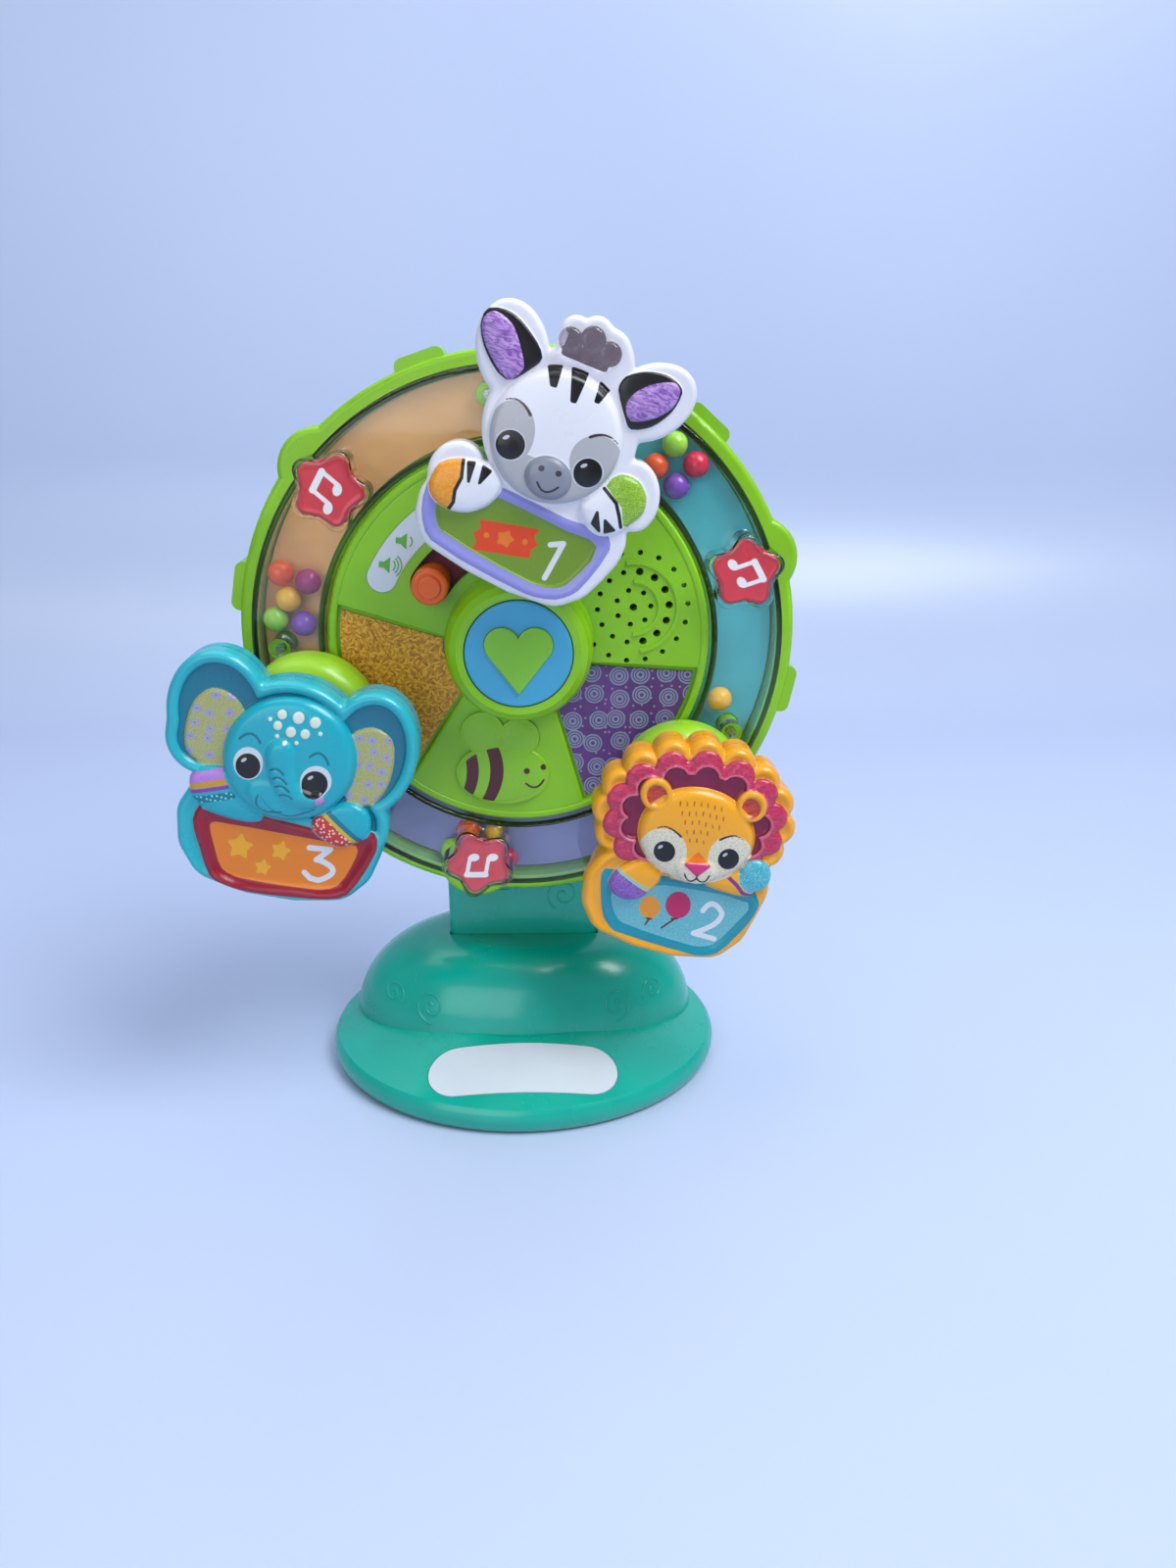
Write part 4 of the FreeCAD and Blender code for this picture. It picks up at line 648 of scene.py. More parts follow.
def tray(x, z, corners, rounding):
    """The tray with the construction's corner rounding."""
    inner = []
    for i, (cx, cz) in enumerate(corners):
        before = Vector(corners[i - 1]) - Vector((cx, cz))
        after = Vector(corners[(i + 1) % len(corners)]) - Vector((cx, cz))
        half = before.angle(after) / 2
        inward = (before.normalized() + after.normalized()).normalized() * rounding / math.sin(half)
        inner.append((cx + inward.x, cz + inward.y))
    return smooth(x, z, inner, rounding)


def ovals(x, z, entries, fillet=1.5):
    result = oval(x, z, *entries[0])
    for entry in entries[1:]:
        result = blend(result, oval(x, z, *entry), fillet)
    return result


def zebra_edge(x, z):
    body = ovals(x, z, ZEBRA_OVALS)
    for cx, cz, radius in ((-3.9, 19.0, 4.3), (1.2, 20.6, 4.4), (6.4, 18.6, 4.6)):
        body = blend(body, dot(x, z, cx, cz, radius), 0.8)
    return blend(body, tray(x, z, ZEBRA_TRAY, 9.0), 1.5)


ZEBRA_BORDER = ((-25.0, -27.0), (-25.4, -36.0), (-21.0, -42.6), (8.0, -48.2), (16.0, -47.0), (20.6, -43.0),
                (24.6, -29.8), (22.4, -26.6), (12.0, -26.8), (-8.0, -24.6))
ZEBRA_PANEL = ((-22.2, -28.0), (-22.2, -35.6), (-19.0, -40.0), (7.6, -45.4), (15.0, -44.6), (18.0, -42.0),
               (21.6, -30.6), (13.0, -29.4), (-7.7, -27.0))
ZEBRA_ARM_LEFT = ((-26.4, -28.6), (-25.2, -23.0), (-20.3, -20.2), (-12.8, -19.2), (-8.6, -23.0), (-10.0, -28.4),
                  (-14.6, -32.4), (-20.4, -33.4), (-24.6, -31.8))
ZEBRA_ARM_RIGHT = ((19.0, -12.4), (21.8, -9.6), (26.2, -9.8), (29.4, -12.8), (30.2, -16.9), (28.0, -21.0),
                   (25.6, -24.4), (21.2, -26.2), (17.0, -24.6), (14.0, -20.6))
ZEBRA_EAR_LEFT = ((-26.0, 18.6), (-20.0, 19.4), (-13.4, 15.8), (-9.8, 12.0), (-11.6, 8.6), (-16.2, 4.2),
                  (-22.8, 8.6), (-26.4, 14.2))
ZEBRA_EAR_LEFT_INNER = ((-26.3, 16.4), (-24.4, 18.4), (-19.4, 16.8), (-14.8, 10.9), (-13.4, 7.8), (-15.8, 4.4),
                        (-22.0, 8.6), (-25.6, 13.0))
ZEBRA_EAR_RIGHT = ((13.0, 11.6), (13.6, 14.8), (17.9, 17.6), (23.0, 18.6), (26.4, 17.8), (28.2, 16.2),
                   (27.4, 10.8), (24.0, 5.8), (19.4, 3.4), (17.6, 5.0))
ZEBRA_EAR_RIGHT_INNER = ((16.4, 8.0), (17.2, 11.6), (20.4, 15.0), (25.2, 17.4), (27.6, 16.4), (27.2, 12.0),
                         (23.8, 8.0), (18.6, 5.4))


def zebra_field(x, z, h):
    edge = zebra_edge(x, z)
    x, z = drawing("zebra", x, z)
    border = smooth(x, z, ZEBRA_BORDER, 1.2)
    panel = smooth(x, z, ZEBRA_PANEL, 0.6)
    top = FACE_H + 0.7 * ridge(border, -1.2, 1.3) - 0.5 * np.clip(-panel / 0.8, 0.0, 1.0)
    body = raised(edge, h, top, 1.7)
    for leaf, inner in ((ZEBRA_EAR_LEFT, ZEBRA_EAR_LEFT_INNER), (ZEBRA_EAR_RIGHT, ZEBRA_EAR_RIGHT_INNER)):
        leaf_edge = smooth(x, z, leaf, 0.6)
        body = blend(body, raised(leaf_edge, h, FACE_H + 0.5 + 0.5 * swell(leaf_edge, 5.0), 0.5), 0.25)
        inner_edge = smooth(x, z, inner, 0.5)
        body = blend(body, raised(inner_edge, h, FACE_H + 0.8 + 1.0 * swell(inner_edge, 4.0), 0.5), 0.25)
    head = oval(x, z, 1.2, -6.2, 18.2, 18.0)
    body = blend(body, raised(head, h, FACE_H + 1.6 + 2.1 * swell(head, 15.0), 2.4), 0.5)
    for arm in (ZEBRA_ARM_LEFT, ZEBRA_ARM_RIGHT):
        arm_edge = smooth(x, z, arm, 0.8)
        body = blend(body, raised(arm_edge, h, FACE_H + 0.8 + 1.7 * swell(arm_edge, 6.0), 1.6), 0.4)
    muzzle = oval(x, z, 2.8, -16.6, 6.6, 5.8, -10.0)
    body = blend(body, raised(muzzle, h, FACE_H + 3.4 + 1.5 * swell(muzzle, 5.0), 1.8), 1.2)
    for eye_x, eye_z in ((-9.6, -11.7), (12.4, -11.7)):
        eye = dot(x, z, eye_x, eye_z, 4.1)
        body = blend(body, raised(eye, h, FACE_H + 2.6 + 0.9 * swell(eye, 4.0), 0.5), 0.2)
    return np.maximum(body, SPLIT_H - h)


def zebra_layers(x, z, h):
    x, z = drawing("zebra", x, z)
    purple = marbled(rgb(122, 78, 160), rgb(190, 150, 214))
    ink = BLACK
    border = smooth(x, z, ZEBRA_BORDER, 1.2)
    panel = smooth(x, z, ZEBRA_PANEL, 0.6)
    arms = union(smooth(x, z, ZEBRA_ARM_LEFT, 0.8), smooth(x, z, ZEBRA_ARM_RIGHT, 0.8))
    head = oval(x, z, 1.2, -6.2, 18.2, 18.0)
    face = union(oval(x, z, -10.6, -8.8, 6.4, 8.6, 8.0), oval(x, z, 13.4, -8.2, 7.2, 7.0),
                 np.maximum(oval(x, z, 1.6, -14.0, 16.4, 10.6), z + 12.6))
    return [
        (border, rgb(140, 140, 208)),
        (panel, rgb(112, 146, 34)),
        (outline(x, z, ((-10.4, -34.0), (5.4, -31.2), (4.6, -33.4), (6.4, -35.4), (5.0, -37.2), (5.6, -39.4),
                        (-10.0, -42.2), (-9.2, -40.2), (-11.0, -38.0), (-9.4, -36.2)), 0.25), rgb(222, 66, 18)),
        (union(star(x, z, -2.4, -36.6, 2.6, 84.0), dot(x, z, -7.6, -37.4, 0.8), dot(x, z, 3.0, -35.6, 0.8)),
         rgb(228, 122, 22)),
        (stroke(x, z, ((9.9, -34.0), (13.2, -32.5), (11.6, -43.4)), 0.78), rgb(214, 220, 226)),
        (arms, WHITE),
        (smooth(x, z, ZEBRA_EAR_LEFT, 0.6), ink),
        (smooth(x, z, ZEBRA_EAR_RIGHT, 0.6), ink),
        (smooth(x, z, ZEBRA_EAR_LEFT_INNER, 0.5), purple),
        (smooth(x, z, ZEBRA_EAR_RIGHT_INNER, 0.5), purple),
        (head, WHITE),
        (np.maximum(face, head + 0.5), rgb(176, 176, 180)),
        (np.maximum(union(outline(x, z, ((-8.2, 13.6), (-4.0, 14.6), (-3.6, 6.6), (-4.6, 6.6)), 0.5),
                          outline(x, z, ((-1.4, 15.0), (3.4, 14.8), (2.6, 4.6), (1.8, 4.6)), 0.5),
                          outline(x, z, ((7.6, 14.0), (11.0, 12.6), (8.4, 6.6), (7.8, 6.6)), 0.5)),
                    head - 1.0), ink),
        (oval(x, z, 2.8, -16.6, 6.6, 5.8, -10.0), rgb(132, 136, 148)),
        (union(dot(x, z, 0.2, -14.6, 0.85), dot(x, z, 5.0, -14.4, 0.85)), rgb(60, 56, 66)),
        (stroke(x, z, bowed((0.4, -18.4), (3.3, -20.2), (6.2, -17.8)), 0.3), rgb(44, 42, 52)),
        (union(stroke(x, z, bowed((-14.6, -1.0), (-11.0, -0.2), (-7.2, -2.6)), 0.16, 0.42),
               stroke(x, z, bowed((9.6, -2.6), (13.4, -0.8), (17.2, -1.8)), 0.42, 0.16)), rgb(58, 40, 52)),
        (union(dot(x, z, -9.6, -11.7, 4.3), dot(x, z, 12.4, -11.7, 4.3)), rgb(196, 198, 204)),
        (union(dot(x, z, -9.6, -11.7, 3.9), dot(x, z, 12.4, -11.7, 3.9)), rgb(2, 2, 4)),
        (union(oval(x, z, -11.3, -10.2, 1.0, 0.5, 40.0), oval(x, z, 10.7, -10.2, 1.0, 0.5, 40.0)),
         rgb(188, 190, 196)),
        (np.maximum(smooth(x, z, ZEBRA_ARM_LEFT, 0.6), x + 19.6), marbled(rgb(226, 132, 20), rgb(240, 168, 44), 0.5)),
        (stroke(x, z, ((-20.0, -20.0), (-19.0, -24.4), (-19.6, -28.2), (-19.0, -31.4), (-19.6, -33.6)), 0.5), ink),
        (union(outline(x, z, ((-18.6, -20.0), (-17.0, -19.6), (-16.9, -24.8)), 0.4),
               outline(x, z, ((-14.4, -19.6), (-12.2, -20.2), (-14.0, -24.2)), 0.4)), ink),
        (np.maximum(smooth(x, z, ZEBRA_ARM_RIGHT, 0.6), outline(
            x, z, ((18.4, -13.4), (21.0, -6.0), (33.0, -8.0), (33.0, -22.0), (26.6, -22.0), (24.4, -17.4)))),
         marbled(rgb(70, 150, 30), rgb(178, 204, 70), 0.5, 5.0)),
        (stroke(x, z, ((18.2, -14.2), (22.6, -16.8), (24.6, -19.8), (26.2, -22.6)), 0.5), ink),
        (union(outline(x, z, ((18.4, -24.2), (21.0, -25.6), (18.6, -20.8)), 0.4),
               outline(x, z, ((21.4, -22.2), (24.8, -24.0), (22.6, -25.4)), 0.4)), ink),
    ]


# Elephant

ELEPHANT_BORDER = ((-22.0, -24.0), (-19.8, -19.6), (13.6, -21.6), (28.2, -19.4), (29.4, -23.4), (24.2, -36.4),
                   (16.8, -39.0), (-8.4, -40.6), (-15.0, -38.0), (-19.0, -31.0))
ELEPHANT_PANEL = ((-17.6, -25.0), (-16.4, -24.4), (16.2, -24.0), (24.2, -23.8), (24.4, -27.0), (21.2, -35.2),
                  (15.0, -37.2), (-6.4, -38.0), (-12.2, -36.4), (-15.6, -30.1))
ELEPHANT_ARM_LEFT = ((-25.4, -12.6), (-22.0, -9.4), (-15.4, -9.2), (-12.0, -14.0), (-4.0, -19.0), (-8.0, -21.4),
                     (-18.4, -20.4), (-23.6, -17.4))
ELEPHANT_ARM_RIGHT = ((11.0, -18.6), (17.6, -12.6), (22.0, -12.0), (26.2, -14.6), (26.6, -19.2), (20.0, -23.6),
                      (14.8, -22.2))
ELEPHANT_PAD_LEFT = ((-29.0, 0.5), (-27.8, 7.4), (-23.7, 11.4), (-17.6, 10.2), (-13.6, 5.0), (-14.6, -6.6),
                     (-22.6, -8.0), (-27.8, -5.4))
ELEPHANT_PAD_RIGHT = ((17.0, 6.4), (22.1, 9.4), (27.4, 7.4), (29.2, 1.0), (28.8, -5.4), (25.9, -10.4),
                      (19.6, -10.8), (17.0, -4.0))
ELEPHANT_TRUNK = ((-1.6, -0.6), (-0.4, -5.2), (1.6, -9.0), (5.2, -11.2), (9.2, -11.4), (11.2, -10.6))


def elephant_edge(x, z):
    return blend(ovals(x, z, ELEPHANT_OVALS), tray(x, z, ELEPHANT_TRAY, 10.0), 1.6)


def elephant_head(x, z):
    return oval(x, z, 0.9, -2.5, 19.0, 17.2)


def elephant_field(x, z, h):
    edge = elephant_edge(x, z)
    x, z = drawing("elephant", x, z)
    border = smooth(x, z, ELEPHANT_BORDER, 1.2)
    panel = smooth(x, z, ELEPHANT_PANEL, 0.6)
    pads = union(smooth(x, z, ELEPHANT_PAD_LEFT, 0.8), smooth(x, z, ELEPHANT_PAD_RIGHT, 0.8))
    hollow = np.clip((-edge - 3.0) / 1.2, 0.0, 1.0)
    hollow = hollow * hollow * (3 - 2 * hollow)
    top = FACE_H + 1.0 * ridge(edge, -1.7, 1.5) - 1.0 * hollow * (z > -18.0)
    top = top + 0.7 * np.clip(-pads / 0.6, 0.0, 1.0)
    top = top + 1.2 * ridge(border, -1.4, 1.5) * (z < -17.0) + 0.1 * (panel < 0)
    body = raised(edge, h, top, 1.7)
    head = elephant_head(x, z)
    for arm in (ELEPHANT_ARM_LEFT, ELEPHANT_ARM_RIGHT):
        arm_edge = smooth(x, z, arm, 0.8)
        body = blend(body, raised(arm_edge, h, FACE_H + 0.6 + 1.5 * swell(arm_edge, 5.0), 1.5), 0.4)
    body = blend(body, raised(head, h, FACE_H + 1.6 + 2.2 * swell(head, 15.0), 2.6), 0.5)
    cheek = oval(x, z, -1.0, -13.2, 8.5, 4.6, -14.0)
    body = blend(body, raised(cheek, h, FACE_H + 3.4 + 0.8 * swell(cheek, 4.0), 1.6), 1.4)
    trunk = stroke(x, z, ELEPHANT_TRUNK, 4.4, 2.3)
    body = blend(body, raised(trunk, h, FACE_H + 3.0 + 2.4 * swell(trunk, 3.2), 1.6), 1.3)
    for points in elephant_wrinkles():
        line = stroke(x, z, points, 0.3)
        body = body + 0.22 * np.clip(-line / 0.25 + 0.6, 0.0, 1.0) * (h > FACE_H + 3.0)
    for eye_x, eye_z in ((-9.9, -5.3), (9.6, -6.6)):
        eye = dot(x, z, eye_x, eye_z, 3.9)
        body = blend(body, raised(eye, h, FACE_H + 2.9 + 0.9 * swell(eye, 3.8), 0.5), 0.2)
    spots = None
    for spot_x, spot_z, radius in ELEPHANT_SPOTS:
        spot = dot(x, z, spot_x, spot_z, radius)
        spots = spot if spots is None else np.minimum(spots, spot)
    body = np.where((spots < 0) & (h > FACE_H + 1.0), body - 0.25 * swell(spots, 0.5), body)
    return np.maximum(body, SPLIT_H - h)


ELEPHANT_SPOTS = ((-3.2, 10.0, 1.3), (1.4, 10.0, 1.6), (6.2, 9.6, 1.5), (-3.8, 7.0, 1.2), (0.1, 6.0, 1.4),
                  (4.1, 6.2, 1.3), (-6.2, 8.2, 0.6), (8.2, 7.0, 0.6), (-3.4, 4.2, 0.6), (-0.9, 3.0, 0.6),
                  (2.2, 3.4, 0.6))


def elephant_wrinkles():
    return (bowed((-3.6, -5.0), (-1.6, -4.2), (0.6, -5.4)), bowed((-2.4, -7.2), (-0.4, -6.4), (2.0, -7.8)),
            bowed((-1.4, -9.4), (0.6, -8.6), (3.0, -9.8)), bowed((0.4, -11.4), (2.0, -10.8), (4.0, -11.4)))


def elephant_layers(x, z, h):
    edge = elephant_edge(x, z)
    x, z = drawing("elephant", x, z)
    border = smooth(x, z, ELEPHANT_BORDER, 1.2)
    head = elephant_head(x, z)
    arm_left = smooth(x, z, ELEPHANT_ARM_LEFT, 0.8)
    arm_right = smooth(x, z, ELEPHANT_ARM_RIGHT, 0.8)
    spots = union(*(dot(x, z, *spot) for spot in ELEPHANT_SPOTS))
    cuff = -0.34 * (x + 20.0) + (z + 12.6)
    digit = ((11.2, -26.2), (17.4, -25.6), (13.9, -29.3), *bowed((14.6, -29.2), (19.4, -31.6), (15.8, -35.2)),
             (13.2, -35.0), (11.2, -33.6))
    teal = rgb(20, 166, 184)
    dark = rgb(0, 112, 138)
    stars = union(star(x, z, -8.6, -29.6, 3.9, 92.0, 0.55), star(x, z, 3.2, -28.6, 3.0, 84.0, 0.55),
                  star(x, z, -1.0, -34.4, 2.5, 88.0, 0.55))
    face_lines = [stroke(x, z, bowed((-5.6, -12.4), (-4.6, -16.4), (1.8, -16.0)), 0.28),
                  stroke(x, z, bowed((-4.6, -13.0), (2.4, -16.8), (10.8, -14.0)), 0.2, 0.24),
                  stroke(x, z, bowed((-13.6, 1.4), (-10.6, 3.4), (-7.6, 1.4)), 0.36),
                  stroke(x, z, bowed((6.6, 0.4), (9.4, 1.8), (12.2, -0.8)), 0.36)]
    wrinkles = [stroke(x, z, points, 0.26) for points in elephant_wrinkles()]
    return [
        (np.maximum(edge + 3.6, -18.0 - z), dark),
        (union(smooth(x, z, ELEPHANT_PAD_LEFT, 0.8), smooth(x, z, ELEPHANT_PAD_RIGHT, 0.8)),
         dotted_rings(rgb(172, 174, 112), rgb(150, 148, 214), rgb(150, 120, 200), 4.6)),
        (np.maximum(border, z + 18.0), rgb(146, 10, 40)),
        (smooth(x, z, ELEPHANT_PANEL, 0.6), rgb(226, 124, 12)),
        (stars - 0.3, rgb(216, 128, 14)),
        (stars, rgb(234, 166, 22)),
        (stroke(x, z, digit, 0.8), rgb(214, 218, 224)),
        (union(arm_left, arm_right), teal),
        (np.maximum(arm_left + 0.2, np.maximum(-cuff - 2.4, cuff - 3.6)), rgb(176, 122, 204)),
        (np.maximum(arm_left + 0.2, np.abs(cuff + 0.4) - 0.9), rgb(196, 150, 30)),
        (np.maximum(arm_left + 0.2, np.abs(cuff + 2.0) - 0.6), rgb(122, 62, 168)),
        (np.maximum(arm_left + 0.2, np.abs(cuff + 4.6) - 1.1), speckled(dark, rgb(120, 210, 220), 1.4, 0.36, 0.3)),
        (np.maximum(arm_right + 0.2, 0.62 * (x - 19.0) - (z + 19.4) * -1.0 - 1.0),
         speckled(rgb(196, 52, 44), rgb(244, 196, 186), 1.3, 0.34)),
        (np.maximum(arm_right, np.abs(0.62 * (x - 19.0) + (z + 19.4) - 0.7) - 0.7), rgb(206, 176, 40)),
        (np.maximum(arm_right, np.abs(0.62 * (x - 19.0) + (z + 19.4) - 2.1) - 0.8), dark),
        (head, teal),
        (spots, speckled(rgb(206, 222, 214), rgb(228, 222, 196), 0.9, 0.3)),
        (union(*face_lines, *wrinkles), rgb(14, 108, 128)),
        (oval(x, z, 11.9, -10.9, 1.2, 1.5, 0.0), rgb(182, 132, 202)),
        (union(oval(x, z, -10.0, -4.7, 4.2, 4.5), oval(x, z, 9.6, -6.0, 4.4, 4.4)), rgb(206, 214, 218)),
        (union(dot(x, z, -9.9, -5.4, 3.5), dot(x, z, 9.4, -6.8, 3.7)), rgb(2, 2, 4)),
        (union(oval(x, z, -11.3, -3.9, 0.9, 0.45, 40.0), oval(x, z, 7.9, -5.2, 0.9, 0.45, 40.0)),
         rgb(188, 190, 196)),
    ]


# Lion

LION_MIDDLE = (-0.5, -1.6)
LION_BORDER = ((-25.0, -21.0), (-25.6, -27.0), (-24.0, -35.0), (-20.6, -38.6), (5.0, -43.0), (11.6, -41.6),
               (18.6, -33.0), (22.0, -25.6), (20.0, -22.6), (-9.9, -21.6), (-14.0, -24.0))
LION_PANEL = ((-22.4, -27.6), (-21.4, -33.4), (-18.6, -36.4), (4.4, -41.0), (10.4, -39.8), (16.6, -32.0),
              (19.4, -26.2), (-6.8, -24.0), (-12.4, -25.4))
LION_ARM_LEFT = ((-24.0, -24.0), (-21.0, -19.6), (-15.6, -16.6), (-9.6, -19.0), (-9.4, -21.6), (-13.4, -26.6),
                 (-17.6, -28.6), (-22.0, -27.6))
LION_ARM_RIGHT = ((5.0, -19.6), (11.6, -17.0), (16.6, -16.0), (21.0, -20.2), (18.9, -22.8), (11.4, -22.2))


def scallops(x, z, a, b, count, radius, turn=0.0):
    """Round scallops along an oval."""
    best = oval(x, z, *LION_MIDDLE, a + radius * 0.3, b + radius * 0.3)
    for i in range(count):
        angle = math.radians(turn + i * 360.0 / count)
        lobe = dot(x, z, LION_MIDDLE[0] + a * math.cos(angle), LION_MIDDLE[1] + b * math.sin(angle), radius)
        best = blend(best, lobe, 0.5)
    return best


def lion_edge(x, z):
    return blend(scallops(x, z, 25.4, 19.8, 16, 5.6), tray(x, z, LION_TRAY, 9.0), 1.6)


def lion_field(x, z, h):
    edge = lion_edge(x, z)
    mane = scallops(x, z, 23.0, 17.4, 14, 5.0, 12.0)
    inner = scallops(x, z, 19.2, 14.0, 13, 3.9, 4.0)
    x, z = drawing("lion", x, z)
    border = smooth(x, z, LION_BORDER, 1.2)
    panel = smooth(x, z, LION_PANEL, 0.6)
    upper = np.clip((z + 24.0) / 3.0, 0.0, 1.0)
    low = np.clip((-z - 20.0) / 3.0, 0.0, 1.0)
    top = FACE_H - 0.2 + 1.0 * ridge(edge, -1.6, 1.5) + low * (0.7 * ridge(border, -1.4, 1.4) + 0.1 * (panel < 0))
    body = raised(edge, h, top, 1.7)
    pleats = 0.16 * np.sin(np.arctan2(z + 1.6, x + 0.5) * 46.0) * np.clip((-mane) / 2.0, 0.0, 1.0) * (inner > 0)
    mane_top = FACE_H + 0.6 + 1.0 * swell(mane, 3.0) - 0.9 * np.clip(-inner / 1.0, 0.0, 1.0)
    mane_top = mane_top + 0.55 * ridge(inner, 0.0, 0.55) + pleats
    body = blend(body, raised(mane + 30.0 * (1 - upper), h, mane_top, 0.9), 0.3)
    for arm in (LION_ARM_LEFT, LION_ARM_RIGHT):
        arm_edge = smooth(x, z, arm, 0.8)
        body = blend(body, raised(arm_edge, h, FACE_H + 0.9 + 1.7 * swell(arm_edge, 5.0), 1.5), 0.4)
    tuft = dot(x, z, 20.4, -16.4, 5.2)
    body = blend(body, raised(tuft, h, FACE_H + 1.4 + 1.4 * swell(tuft, 4.5), 1.4), 0.3)
    for ear_x, ear_z, radius in ((-13.3, 4.7, 4.9), (15.9, 4.8, 4.7)):
        ear = dot(x, z, ear_x, ear_z, radius)
        hollow = 1.0 * np.clip((-ear - 1.5) / 0.8, 0.0, 1.0)
        body = blend(body, raised(ear, h, FACE_H + 3.3 - hollow, 1.2), 0.3)
    face = oval(x, z, 0.6, -6.4, 18.2, 14.5)
    body = blend(body, raised(face, h, FACE_H + 2.0 + 2.2 * swell(face, 13.0), 2.6), 0.4)
    snout = oval(x, z, 1.5, -16.2, 6.6, 4.4)
    body = blend(body, raised(snout, h, FACE_H + 3.7 + 1.2 * swell(snout, 4.0), 1.6), 1.4)
    nose = outline(x, z, ((-1.8, -14.2), (4.8, -13.8), (1.7, -16.8)), 0.7)
    body = blend(body, raised(nose, h, FACE_H + 4.8 + 0.7 * swell(nose, 1.6), 0.5), 0.3)
    for eye_x, eye_z in ((-9.0, -11.5), (10.9, -11.3)):
        eye = dot(x, z, eye_x, eye_z, 3.3)
        body = blend(body, raised(eye, h, FACE_H + 3.0 + 0.8 * swell(eye, 3.2), 0.5), 0.2)
    return np.maximum(body, SPLIT_H - h)


